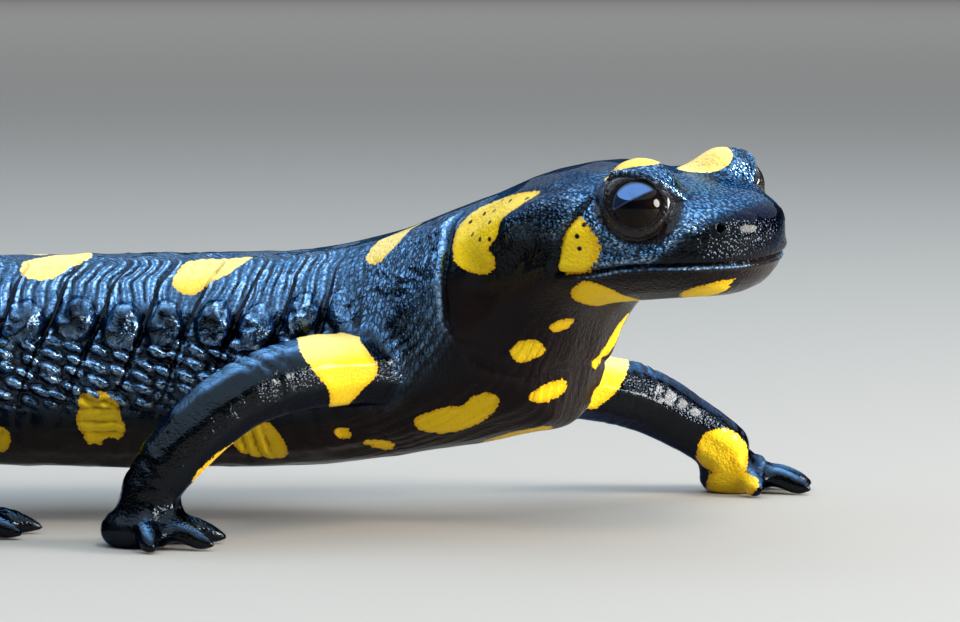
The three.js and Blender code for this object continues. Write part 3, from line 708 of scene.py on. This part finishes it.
# Outlines by place along the body and degrees from the spine, positive on the right.
BODY_MARKS = {
    "back_rear": [(-56.5, 31), (-56, 16), (-54, 4), (-51.2, -2), (-51, 14), (-52.7, 31), (-54.3, 41),
        (-55.3, 41), (-56.4, 36)],
    "back_middle": [(-44.2, 47), (-43.9, 36), (-43.3, 27), (-42, 20), (-39.8, 17), (-37.9, 18), (-38.6, 28),
        (-40.2, 41), (-41.6, 48), (-42.6, 54), (-43.6, 52)],
    "back_front": [(-26, 40), (-25.2, 26), (-23.6, 17), (-20.4, 10), (-20.9, 28), (-22.6, 41), (-25, 47)],
    "flank": [(-52, 103), (-51, 100), (-49.6, 101), (-48.8, 105), (-48.6, 112), (-48.2, 119), (-48.8, 127),
        (-49.8, 125), (-49.9, 130), (-51.3, 130), (-51.6, 124), (-52.2, 116), (-52, 109)],
    "flank_rear": [(-60.8, 128), (-59.6, 120), (-58, 122), (-57.6, 132), (-58.6, 143), (-60.2, 140)],
    "armpit": [(-39.5, 128), (-38, 119), (-36.3, 118), (-35.5, 141), (-36.1, 148), (-38.4, 142)],
    "chest": [(-26, 134), (-24.9, 131.5), (-23.2, 133.4), (-22.3, 136.2), (-21.4, 134.6), (-20, 137),
        (-19.6, 142), (-21.1, 147), (-23, 150), (-24.6, 149), (-26, 140)],
    "throat_side": [(-17.6, 150), (-15.9, 152), (-14.5, 160), (-14.4, 166), (-15.5, 164), (-17.2, 156)],
    "chest_middle": [(-23.6, 176), (-21.5, 166), (-19.2, 168), (-19, 175), (-21, 183)],
    "chest_low": [(-31.9, 127), (-31, 128), (-30.8, 134), (-31.6, 134)],
    "chest_low_front": [(-30.2, 139), (-29, 141), (-28.3, 150), (-28.7, 154), (-29.9, 147)],
    "neck_front": [(-11.5, 138), (-10.3, 140), (-9.8, 147), (-10.6, 151), (-11.6, 143)],
    "neck_rear": [(-15.8, 130), (-14.3, 131), (-13, 139), (-13.3, 145), (-14.6, 141), (-15.9, 136)],
    "throat_strip": [(-13.6, -175), (-12.6, -168), (-11.4, -158), (-10.4, -146), (-11.4, -143),
        (-12.9, -156), (-13.8, -168)],
    "gland": [(-7.4, 64), (-9, 59), (-10.8, 53), (-13.7, 46), (-15.6, 54), (-16.1, 65), (-16.4, 75),
        (-15.4, 85), (-13.9, 92), (-12.2, 94), (-11.4, 90), (-11.6, 85), (-10.2, 82), (-9.7, 77),
        (-8.4, 73)],
    "hip": [(-71.5, 40), (-68, 20), (-64.5, 24), (-63.8, 42), (-66, 58), (-70, 56)],
}
# The same outlines on the left, each shifted along the body.
LEFT_SHIFTS = {
    "back_rear": -3.2, "back_middle": -3.8, "back_front": -2.6, "flank": 4.5, "flank_rear": -3.0,
    "armpit": -1.2, "chest": -1.8, "throat_side": -1.0, "neck_rear": 0.6, "gland": 0.0, "hip": -2.4,
}
TAIL_MARKS = [                      # place, degrees, half length, half height in millimetres
    (-78, -28, 3.0, 1.7), (-83, 34, 2.6, 1.9), (-90, -20, 2.4, 1.5), (-97, 30, 2.8, 1.5),
    (-106, -18, 2.4, 1.3), (-113, 26, 2.2, 1.3), (-122, -30, 2.6, 1.0), (-131, 20, 2.2, 0.9),
    (-140, -10, 1.9, 0.8), (-88, 118, 2.2, 1.3), (-101, -112, 2.0, 1.2),
]
# Outlines on the side of the head, by forward and up.
CHEEK_MARK = [(-3.8, -0.2), (-2.6, -1.1), (-2, -2.2), (-2.2, -3.3), (-3.2, -4.2), (-4.7, -4.4),
              (-5.5, -4.3), (-5.75, -3.4), (-5.5, -2.2), (-4.8, -1.1)]
JAW_MARKS = [
    [(-6.1, -6.2), (-5, -5.4), (-3.9, -5), (-3, -5.3), (-2.1, -6.4), (-2.4, -8), (-4, -8.6), (-6.2, -7.4)],
    [(1.3, -7), (2.4, -6.4), (4, -6), (6, -5.8), (6.6, -6.2), (6.3, -7), (4.8, -7.4), (2.6, -7.6)],
]
# Centre and half sizes by forward, left and up, on the right lid and on the left.
LID_MARKS = {-1: ((-1.4, 4.9, 3.05), (2.8, 2.3, 1.3)), 1: ((-0.1, 3.4, 3.0), (2.5, 2.0, 1.7))}
# Outlines on the limbs as seen from the right, with the reach of each across the animal.
LIMB_MARKS = [
    ([(34, 17), (34.3, 14.5), (35.6, 12.5), (36.6, 11), (36.6, 9.4), (37.2, 8.9), (37.7, 9.4), (38.9, 10.8),
      (40.2, 12.3), (39.2, 14), (38.7, 14.8), (38.6, 17.5)], (-20, -8.6)),
    ([(26.7, 4.7), (28.2, 6.6), (30.8, 7.9), (30.8, 6.3), (28.5, 4.1)], (-24, -12)),
    ([(56.4, 12), (59.4, 12), (59.6, 10.7), (58.7, 9.0), (57.5, 7.9), (56.3, 7.4), (55.6, 9.4)], (4.6, 12)),
    ([(65.2, 4.0), (65.6, 4.9), (66.6, 5.4), (67.8, 5.3), (68.8, 4.5), (69.3, 3.4), (69, 2), (67.5, 1.6),
      (66, 2), (65.2, 2.8)], (9, 30)),
    ([(66.2, 1.5), (67.5, 1.9), (69, 1.9), (70, 1.3), (68.8, -0.2), (66.2, -0.2)], (9, 15)),
]
HIND_MARKS = [((0.5, -13.2, 12.4), (3.2, 4.0, 3.0)), ((-12.2, 9.5, 12.2), (3.0, 3.4, 3.0)),
              ((-19.5, 16.5, 1.6), (2.2, 2.4, 2.0)), ((6.8, -12.8, 1.6), (2.4, 2.2, 2.0))]


def turned_near(turn, middle):
    return middle + (turn - middle + 180) % 360 - 180


points = points_of(skin)
at = Places(points)
limb_share, limb_place, limb_offset = limb_places(points)
turn = -at.hand * at.side
head = at.head
body_share = 1 - limb_share
off_limb, off_body = limb_share * 4, body_share * 4     # keeps a mark off the other's skin
yellow = np.full(len(points), -MARK_REACH)
for name, outline in BODY_MARKS.items():
    for hand, shift in ((1, 0), (-1, LEFT_SHIFTS.get(name))):
        if shift is None:
            continue
        ring = ring_through([(place + shift, hand * degrees * DEGREE) for place, degrees in outline])
        nearby = turned_near(turn, hand * np.mean([degrees for _, degrees in outline]))
        yellow = np.maximum(yellow, inside(at.place, nearby * DEGREE, ring) - off_limb)
for place, degrees, half_long, half_tall in TAIL_MARKS:
    around = np.radians(turned_near(turn, degrees) - degrees) * at.girth
    reach = np.hypot((at.place - place) / half_long, around / half_tall)
    yellow = np.maximum(yellow, (1 - reach) * half_tall - off_limb)

cheek = inside(head[:, 0], head[:, 2], ring_through(CHEEK_MARK))
cheek = np.where(head[:, 1] > 4, cheek * (1 - 0.6 * ramp(-4.2, -2.6, head[:, 0])), -MARK_REACH)
yellow = np.maximum(yellow, cheek)
for outline in JAW_MARKS:
    jaw = inside(head[:, 0], head[:, 2], ring_through(outline))
    yellow = np.maximum(yellow, np.where(head[:, 1] > 2.6, jaw, -MARK_REACH))
for hand, (middle, half_sizes) in LID_MARKS.items():
    lid_mark = (1 - from_middle(head, middle, half_sizes)) * 3
    yellow = np.maximum(yellow, np.where(at.hand == hand, lid_mark, -MARK_REACH))
for outline, (low, high) in LIMB_MARKS:
    mark = inside(points[:, 0], points[:, 2], ring_through(outline))
    mark = np.minimum(mark, np.minimum(points[:, 1] - low, high - points[:, 1]))
    yellow = np.maximum(yellow, mark - off_body)
for middle, half_sizes in HIND_MARKS:
    mark = (1 - from_middle(points, middle, half_sizes)) * 2.4
    yellow = np.maximum(yellow, mark - off_body)
yellow = np.clip(yellow, -MARK_REACH, MARK_REACH)

forward, upward, outward = eye_places(head)
lid_share = ramp(1.02, 0.96, orbit_rim(forward, upward)) * ramp(0, 0.6, outward)
# Painted sky reflection: a blue sheen painted over the upper body, where the skin faces the sky.
# It reaches down to these degrees from the spine, and on the head to these heights.
behind_fold = behind_neck_fold(at)
lowest = np.interp(behind_fold, (-0.1, 0.4, 4, 8, 12), (66, 100, 106, 114, 104))
steel = ramp(lowest + 12, lowest - 14, at.side)
level = np.interp(head[:, 0], (-12, -5, -3.4, 1, 3, 5, 7), (-1.0, -1.8, -3.4, -3.7, -2.7, -1.2, 0.3))
# On the head the painted reflection lies above the lips and nostrils, and is kept weak on the nape behind the
# eyes.
steel_head = ramp(-0.9, 0.5, head[:, 2] - level) * (1 - 0.75 * ramp(-3, -6, head[:, 0]))
steel += (steel_head - steel) * ramp(-13.5, -9, at.place)
# A painted highlight: a thin line of painted reflection along the lower lip.
lip_steel = bell(over_lips(head) + 0.25, 0.08) * band(head[:, 0], -5, -3, 6, 7)
steel = np.maximum(steel, lip_steel * (head[:, 1] > 2))
# On the limbs the painted reflection lies where the skin faces upwards.
steel = steel * body_share + 1.1 * limb_share * ramp(0.6, 1.0, normals_of(skin)[:, 2])
# Where a painted sky glare makes the yellow paler: the top of the body, and the upper side of the limbs.
topside = ramp(62, 30, at.side) * body_share
topside = np.maximum(topside, limb_share * ramp(0.7, 1.9, limb_offset[:, 2]))
under = ramp(112, 126, at.side) * body_share * (1 - ramp(-8, -4, head[:, 0]))
under = np.maximum(under, ramp(-3.2, -5.2, head[:, 2]) * ramp(-20, -14, head[:, 0])
                   * body_share * ramp(-26, -20, at.place))

# Fine creases: a count that grows by one from each to the next, and how deep they are.
_, rib, back_fold, _ = rib_places(at)
rib_depth = band(at.side, 8, 34, 92, 112) * along_trunk(at) * body_share
leathery = ramp(0.2, 1.0, behind_fold) * ramp(-32, -26, at.place) * body_share
leathery *= ramp(21, 17, at.down)
drift = lumps(at.unbent, 1.6)
clear_of_limbs = ramp(0.45, 0.1, limb_share)
families = [
    (back_fold, ramp(74, 60, at.side) * band(at.place, -28, -31, -66, -74) * clear_of_limbs),
    ((at.down + 0.15 * at.place) / 0.9 + 0.5 * drift,
     0.5 * ramp(112, 125, at.side) * band(at.place, -8, -12, -28, -34) * clear_of_limbs),
    (limb_place / 0.62 + 0.7 * drift, 0.3 * ramp(0.55, 0.9, limb_share)),
    (at.place / 0.9 + 0.5 * drift, ramp(-72, -80, at.place) * clear_of_limbs),
]
crease, crease_depth = np.zeros(len(points)), np.zeros(len(points))
for count, share in families:
    crease = np.where(share > crease_depth, count, crease)
    crease_depth = np.maximum(crease_depth, share)


def hollows_of(piece, rounds=8):
    # How far each point lies below the smoothed skin round it.
    ends = np.empty(len(piece.data.edges) * 2, np.int32)
    piece.data.edges.foreach_get("vertices", ends)
    start, end = ends.reshape(-1, 2).T
    points = points_of(piece)
    count = len(points)
    level = points
    for _ in range(rounds):
        total = np.column_stack([np.bincount(start, level[end, k], count)
                                 + np.bincount(end, level[start, k], count) for k in range(3)])
        level = (level + total / np.bincount(ends, minlength=count)[:, None]) / 2
    return np.einsum("ij,ij->i", level - points, normals_of(piece))


def keep_on(piece, **attributes):
    for name, values in attributes.items():
        kind, field = ("FLOAT", "value") if values.ndim == 1 else ("FLOAT_VECTOR", "vector")
        attribute = piece.data.attributes.new(name, kind, "POINT")
        attribute.data.foreach_set(field, values.astype(np.float32).ravel())


keep_on(skin, yellow=yellow, unbent=at.unbent, face=head, under=under, steel=steel, topside=topside,
        on_head=ramp(-17, -12, at.place) * body_share, on_limb=limb_share, rib=rib,
        rib_depth=rib_depth, leathery=leathery, lid=lid_share, crease=crease,
        crease_depth=crease_depth, hollow=hollows_of(skin))

# ---- Skin: its colour and gloss ---------------------------------------------------
# The hide is wet: black with a painted blue sky reflection above, given as a blue metallic tint and
# darkened by painted shade in its hollows and creases, brownish below, and yellow where the blotches
# lie, paler on top by a painted sky glare, stippled with fine dark pores. The face is pebbled, the
# throat streaked, the limbs creased.


class Amount:
    # A number that varies over a surface. Sums and products of it add Math nodes.
    def __init__(self, paint, socket):
        self.paint, self.socket = paint, socket

    def maths(self, operation, first, second):
        return self.paint.add("ShaderNodeMath", {"operation": operation}, {0: first, 1: second})

    def __add__(self, other):
        return self.maths("ADD", self, other)

    def __sub__(self, other):
        return self.maths("SUBTRACT", self, other)

    def __rsub__(self, other):
        return self.maths("SUBTRACT", other, self)

    def __mul__(self, other):
        return self.maths("MULTIPLY", self, other)

    __radd__ = __add__
    __rmul__ = __mul__

    def lowest(self, other):
        return self.maths("MINIMUM", self, other)

    def from_whole(self):
        # Distance from the nearest whole number.
        return self.maths("PINGPONG", self, 0.5)

    def share(self, low, high):
        # Smooth rise from 0 at low to 1 at high.
        return self.paint.add("ShaderNodeMapRange", {"interpolation_type": "SMOOTHSTEP", "clamp": True},
                              {0: self, 1: low, 2: high, 3: 0.0, 4: 1.0})


class Paint:
    # One material, built up node by node on the piece's own places.
    def __init__(self, name):
        self.material = bpy.data.materials.new(name)
        self.material.use_nodes = True
        self.nodes = self.material.node_tree.nodes
        self.links = self.material.node_tree.links
        self.surface = self.nodes["Principled BSDF"]

    def feed(self, socket, value):
        if isinstance(value, Amount):
            self.links.new(value.socket, socket)
        else:
            socket.default_value = value

    def add(self, kind, settings, values, output=0):
        node = self.nodes.new(kind)
        for name, value in settings.items():
            setattr(node, name, value)
        for name, value in values.items():
            self.feed(node.inputs[name], value)
        return Amount(self, node.outputs[output])

    def place(self, name):
        return self.add("ShaderNodeAttribute", {"attribute_name": name}, {}, "Vector")

    def share_of(self, name):
        return self.add("ShaderNodeAttribute", {"attribute_name": name}, {}, "Fac")

    def mapped(self, kind, place, **turns):
        return self.add("ShaderNodeMapping", {"vector_type": kind}, {"Vector": place, **turns})

    def vector_maths(self, operation, output, *vectors):
        return self.add("ShaderNodeVectorMath", {"operation": operation}, dict(enumerate(vectors)), output)

    def noise(self, place, size, detail=2.0, roughness=0.5):
        return self.add("ShaderNodeTexNoise", {}, {"Vector": place, "Scale": 1 / size, "Detail": detail,
                                                   "Roughness": roughness})

    def pebbles(self, place, size, feature="F1"):
        return self.add("ShaderNodeTexVoronoi", {"feature": feature}, {"Vector": place, "Scale": 1 / size},
                        "Distance")

    def blend(self, share, first, second):
        return self.add("ShaderNodeMix", {"data_type": "RGBA"}, {0: share, 6: first, 7: second}, 2)

    def finish(self, **values):
        for name, value in values.items():
            self.feed(self.surface.inputs[name.replace("_", " ")], value)

    def cover(self, piece):
        piece.data.polygons.foreach_set("use_smooth", [True] * len(piece.data.polygons))
        piece.data.materials.append(self.material)


BLACK = (0.004, 0.005, 0.0065, 1)
# Painted light: blue tints of the painted sky reflection on the back and on the limbs, given as metallic
# colours, and the pale tint of painted glints.
SKY_REFLECTION_TINT = (0.12, 0.26, 0.47, 1)        # tint of the sheen on the back
LIMB_SKY_REFLECTION_TINT = (0.14, 0.17, 0.2, 1)        # and on the limbs
GLINT = (0.5, 0.66, 0.84, 1)
JET = (0.010, 0.012, 0.015, 1)
BROWN = (0.012, 0.007, 0.006, 1)
LID_BROWN = (0.012, 0.008, 0.006, 1)
YELLOW = (0.88, 0.58, 0.012, 1)
AMBER = (0.76, 0.43, 0.006, 1)
# Dark stipple of the yellow, also used for painted shade in the yellow's creases.
STIPPLE_AND_CREASE_SHADE = (0.34, 0.15, 0.004, 1)
# A pale yellow of painted sky glare, laid on the yellow's upper side.
PAINTED_SKY_GLARE = (0.9, 0.66, 0.22, 1)
GLAND_PORES = [(-14.2, 7.2, -1.3), (-12.9, 8.2, -1.6), (-11.8, 8.5, -1.6), (-12.1, 7.8, -0.4),
               (-13.9, 5.9, 0.1), (-12.7, 6.3, 0.3), (-13.8, 4.9, 0.8), (-11.0, 6.4, 1.0),
               (-9.0, 7.2, 1.2), (-15.3, 4.9, 0.3), (-15.1, 6.0, -0.5), (-12.2, 5.6, 0.9),
               (-10.4, 8.4, -0.6), (-3.7, 8.9, -1.6), (-3.6, 8.9, -2.5), (-3.2, 8.6, -0.8)]

hide = Paint("black_and_yellow_hide")
spot = hide.mapped("POINT", hide.add("ShaderNodeTexCoord", {}, {}, "Object"), Scale=(1 / MM,) * 3)
unbent = hide.place("unbent")
face = hide.place("face")
on_head, on_limb = hide.share_of("on_head"), hide.share_of("on_limb")
under, steel = hide.share_of("under"), hide.share_of("steel")
lid, hollow = hide.share_of("lid"), hide.share_of("hollow")

broad = hide.noise(spot, 3.0, 3)
fine = hide.noise(spot, 0.42, 2)
tiny = hide.noise(spot, 0.16, 1)
grit = hide.pebbles(spot, 0.22)
pebble = hide.pebbles(spot, 0.28)
line = hide.share_of("crease").from_whole()
deep = hide.share_of("crease_depth") * fine.share(0.25, 0.55) * (0.4 + 0.8 * broad.share(0.4, 0.58))
valley = (1 - line.share(0.0, 0.2)) * deep
groove = hide.share_of("rib").from_whole()
groove = (1 - (groove + (fine - 0.5) * 0.02).share(0.008, 0.04)) * hide.share_of("rib_depth")
leathery = hide.share_of("leathery")
scales = hide.mapped("TEXTURE", unbent, Rotation=(0, -0.88, 0), Scale=(0.95, 0.8, 0.36))
scale_edge = (1 - hide.pebbles(scales, 1.0, "DISTANCE_TO_EDGE").share(0.02, 0.16)) * leathery
edge = hide.share_of("yellow") + (fine - 0.5) * 0.14 + (grit - 0.45) * 0.2
is_yellow = edge.share(-0.03, 0.05)
inner = edge.share(0.0, 0.5)

from_pore, *others = (hide.vector_maths("DISTANCE", "Value", face, pore) for pore in GLAND_PORES)
for other in others:
    from_pore = from_pore.lowest(other)
is_pore = 1 - (from_pore + (fine - 0.5) * 0.12).share(0.13, 0.24)

stipple = hide.pebbles(spot, 0.3)
dots = (1 - stipple.share(0.08, 0.3)) * (0.35 + 0.5 * broad)
yellow_color = hide.blend((inner * 0.9 + (broad - 0.5) * 0.9).share(0, 0.8), AMBER, YELLOW)
# Painted sky glare: the yellow is painted paler on its upper side.
yellow_color = hide.blend(hide.share_of("topside") * 0.75, yellow_color, PAINTED_SKY_GLARE)
# The yellow darkens towards its stipple colour in fine dots, and in hollows and creases by painted shade.
yellow_color = hide.blend((dots * 0.5 + hollow.share(0.02, 0.14) * 0.6).lowest(0.8), yellow_color, STIPPLE_AND_CREASE_SHADE)
black_color = hide.blend(under, BLACK, BROWN)
# Painted shade: the painted sky reflection is darkened in hollows, crease valleys and rib grooves, between
# grains and the face's pebbles, and along the scale edges of the shoulders.
shade = (1 - hollow.share(-0.01, 0.11) * 0.92) * (1 - (valley * 1.1).lowest(0.95)) * (1 - groove * 0.9)
shade = shade * (1 - grit.share(0.42, 0.62) * 0.55 * (1 - on_limb * 0.8)) * (1 - scale_edge * 0.8)
shade = shade * (1 + leathery * 0.25) * (1 - pebble.share(0.36, 0.6) * on_head * 0.8)
# Painted highlight: the painted reflection is brighter on crests, beside the folds and on the head.
crest = (0 - hollow).share(0.0, 0.09)
fold_edge = line.share(0.2, 0.3) * (1 - line.share(0.3, 0.42)) * deep
sheen = (0.1 + 0.75 * broad + crest * 0.6 + on_head * 0.6 + fold_edge * 0.5).lowest(1.4)
sheen = sheen * steel * (1 - lid) * shade
# Painted glints: a pale blue highlight painted on crests and fold edges where the painted reflection is
# strong.
glint = (crest * 0.8 + fold_edge * 0.6) * (1 - leathery * 0.6) * sheen * fine.share(0.42, 0.6) * (1 - on_limb)
black_color = hide.blend((1 - under) * (1 - lid), black_color, JET)
black_color = hide.blend(sheen, black_color, hide.blend(on_limb * 0.25, SKY_REFLECTION_TINT, LIMB_SKY_REFLECTION_TINT))
black_color = hide.blend(glint.lowest(0.7), black_color, GLINT)
black_color = hide.blend(lid, black_color, hide.blend(fine.share(0.35, 0.7), BROWN, LID_BROWN))
skin_color = hide.blend(is_yellow, black_color, yellow_color)
skin_color = hide.blend(is_pore, skin_color, BLACK)

leather = hide.noise(unbent, 0.8, 4, 0.6)
relief = (1 - pebble) * 0.11 * on_head * (1 - under * 0.6) * (1 - is_yellow * 0.5)
relief = relief + (1 - grit) * (0.016 + on_limb * 0.03) + (tiny - 0.5) * 0.01 - valley * 0.06 - groove * 0.12
wrinkled = (1 - on_head * 0.45) * (1 - on_limb * 0.75) * (1 - under * 0.8) * (1 - leathery * 0.7)
relief = relief + (leather - 0.5) * 0.15 * wrinkled - scale_edge * 0.05
relief = relief - is_pore * 0.08 + is_yellow * 0.02
bumps = hide.add("ShaderNodeBump", {}, {"Strength": 1.0, "Distance": MM, "Height": relief}, "Normal")
gloss = 0.16 + (broad - 0.5) * 0.08 + is_yellow * 0.2 + under * 0.1 + lid * 0.02
metal = (1 - under) * (1 - lid) * (1 - is_yellow) * (1 - is_pore)
hide.finish(Base_Color=skin_color, Metallic=metal, Roughness=gloss, Normal=bumps,
            Coat_Weight=0.22 * (1 - under) * (1 - on_head * 0.3) + 0.04 + lid * 0.45,
            Coat_Roughness=0.08, Coat_IOR=1.4,
            Specular_IOR_Level=0.15, Specular_Tint=(0.22, 0.38, 0.55, 1))

hide.cover(skin)
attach(skin, "root")
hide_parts(*flesh)

# ---- Eyes -------------------------------------------------------------------------
# Two wet globes sit deep in the orbits. A clear bulging front covers a wide black pupil in an iris
# so dark a brown that it hardly shows.

GLOBE_RADIUS = 2.35
GLOBE_FORWARD = 0.72                # of its centre, out of the orbit's
GAZE = Vector((0.50, 0.85, 0.17)).normalized()
FRONT_BULGE, FRONT_RADIUS = 0.1, 1.3
PUPIL_BLACK = (0.002, 0.002, 0.003, 1)
IRIS_DARK, IRIS_LIGHT = (0.003, 0.0015, 0.001, 1), (0.008, 0.004, 0.0025, 1)
IRIS_EDGE = (0.004, 0.003, 0.003, 1)
EYE_SKY_REFLECTION_TINT = (0.09, 0.16, 0.32, 1)    # tint of the painted sky reflection over the upper half

look = Paint("wet_dark_eye")
gaze_place = look.place("gaze")
sideways = look.vector_maths("MULTIPLY", "Vector", gaze_place, (1, 1, 0))
from_pupil = look.vector_maths("LENGTH", "Value", sideways)
around_pupil = look.vector_maths("NORMALIZE", "Vector", sideways)
fibres = look.noise(around_pupil, 0.09, 2) * 0.6 + look.noise(gaze_place, 0.3, 2) * 0.4
iris = look.blend(fibres.share(0.4, 0.62), IRIS_DARK, IRIS_LIGHT)
iris = look.blend((from_pupil + fibres * 0.1).share(0.78, 0.9), PUPIL_BLACK, iris)
iris = look.blend(from_pupil.share(1.55, 1.95), iris, IRIS_EDGE)
# Painted sky reflection: a blue sheen painted over the upper half of the eye, given as a blue metallic tint.
height = look.vector_maths("DOT_PRODUCT", "Value", gaze_place, (-0.4, 1, 0)) + fibres * 0.2
painted_eye_reflection = height.share(0.5, 0.75) * (1 - from_pupil.share(1.5, 1.8)) * (0.4 + fibres * 1.2).lowest(1.0)
look.finish(Base_Color=look.blend(painted_eye_reflection, iris, EYE_SKY_REFLECTION_TINT), Metallic=painted_eye_reflection * 0.95, Roughness=0.05,
            Specular_IOR_Level=0.12)

for name, hand in EYES.items():
    globe = bmesh.new()
    bmesh.ops.create_icosphere(globe, subdivisions=6, radius=GLOBE_RADIUS)
    along = Vector((GAZE.x, GAZE.y * hand, GAZE.z))
    outward_axis = Vector((EYE_AXIS[0], EYE_AXIS[1] * hand, EYE_AXIS[2]))
    upright = along.to_track_quat("Z", "Y")
    gazes = []
    for vert in globe.verts:
        bulge = FRONT_BULGE * bell(vert.co.xy.length, FRONT_RADIUS) if vert.co.z > 0 else 0
        vert.co += vert.co.normalized() * bulge
        gazes.append((-hand * vert.co.x, vert.co.y, vert.co.z))
        in_head = upright @ vert.co + outward_axis * GLOBE_FORWARD
        vert.co = HEAD_TURN @ in_head * MM + eye_centres[name]
    eye = object_from(globe, name + "_globe")
    keep_on(eye, gaze=np.array(gazes))
    look.cover(eye)
    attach(eye, "root")
    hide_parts(name)

# ---- Floor, lights and camera -----------------------------------------------------
# The model stands on a plain pale table under a broad cool light from above, with a small warm
# light on its right and a white card ahead of it. A wash lights the table behind. The camera looks
# nearly level at its right side.

CAMERA_AIM_HEIGHT = 15.9            # millimetres
CAMERA_DISTANCE, CAMERA_RISE = 0.35, np.radians(4.5)
CAMERA_LENS, SENSOR_WIDTH = 170.625, 36

floor_mesh = bmesh.new()
bmesh.ops.create_grid(floor_mesh, x_segments=1, y_segments=1, size=9)
floor = object_from(floor_mesh, "floor")
table = Paint("pale_table")
table.finish(Base_Color=(0.34, 0.31, 0.28, 1), Roughness=0.75)
floor.data.materials.append(table.material)

scene = bpy.context.scene
scene.view_settings.view_transform = "Standard"
world = bpy.data.worlds.new("studio")
world.use_nodes = True
background = world.node_tree.nodes["Background"].inputs
background["Color"].default_value = (0.75, 0.85, 1.0, 1)
background["Strength"].default_value = 0.05
scene.world = world


def soft_light(name, place, target, size, power, color):
    light = bpy.data.lights.new(name, "AREA")
    light.shape = "ELLIPSE"
    light.size, light.size_y = size
    light.energy = power
    light.color = color
    lamp = bpy.data.objects.new(name, light)
    scene.collection.objects.link(lamp)
    lamp.location = place
    lamp.rotation_euler = (Vector(target) - Vector(place)).to_track_quat("-Z", "Y").to_euler()
    return lamp


soft_light("sky", (0, -0.14, 0.5), (0, -0.14, 0), (1.5, 1.2), 9.2, (0.62, 0.82, 1.0))
soft_light("card", (0.44, -0.1, 0.12), (0.04, 0, 0.015), (0.16, 0.16), 3.4, (1, 0.97, 0.92))
key = soft_light("key", (0.2, -0.3, 0.55), (0.03, 0, 0.01), (0.2, 0.2), 1.8, (1, 0.84, 0.64))
key.visible_glossy = False
soft_light("wash", (0, 2.6, 1.6), (0, 2.2, 0), (5.6, 3.4), 62, (0.85, 0.93, 1))

aim = (body_shift + Vector((0, 0, CAMERA_AIM_HEIGHT))) * MM
camera_data = bpy.data.cameras.new("camera")
camera = bpy.data.objects.new("camera", camera_data)
scene.collection.objects.link(camera)
away = Vector((0, -np.cos(CAMERA_RISE), np.sin(CAMERA_RISE)))
camera.location = aim + away * CAMERA_DISTANCE
camera.rotation_euler = (-away).to_track_quat("-Z", "Y").to_euler()
camera_data.sensor_width = SENSOR_WIDTH
camera_data.lens = CAMERA_LENS
camera_data.clip_start = 0.01
scene.camera = camera
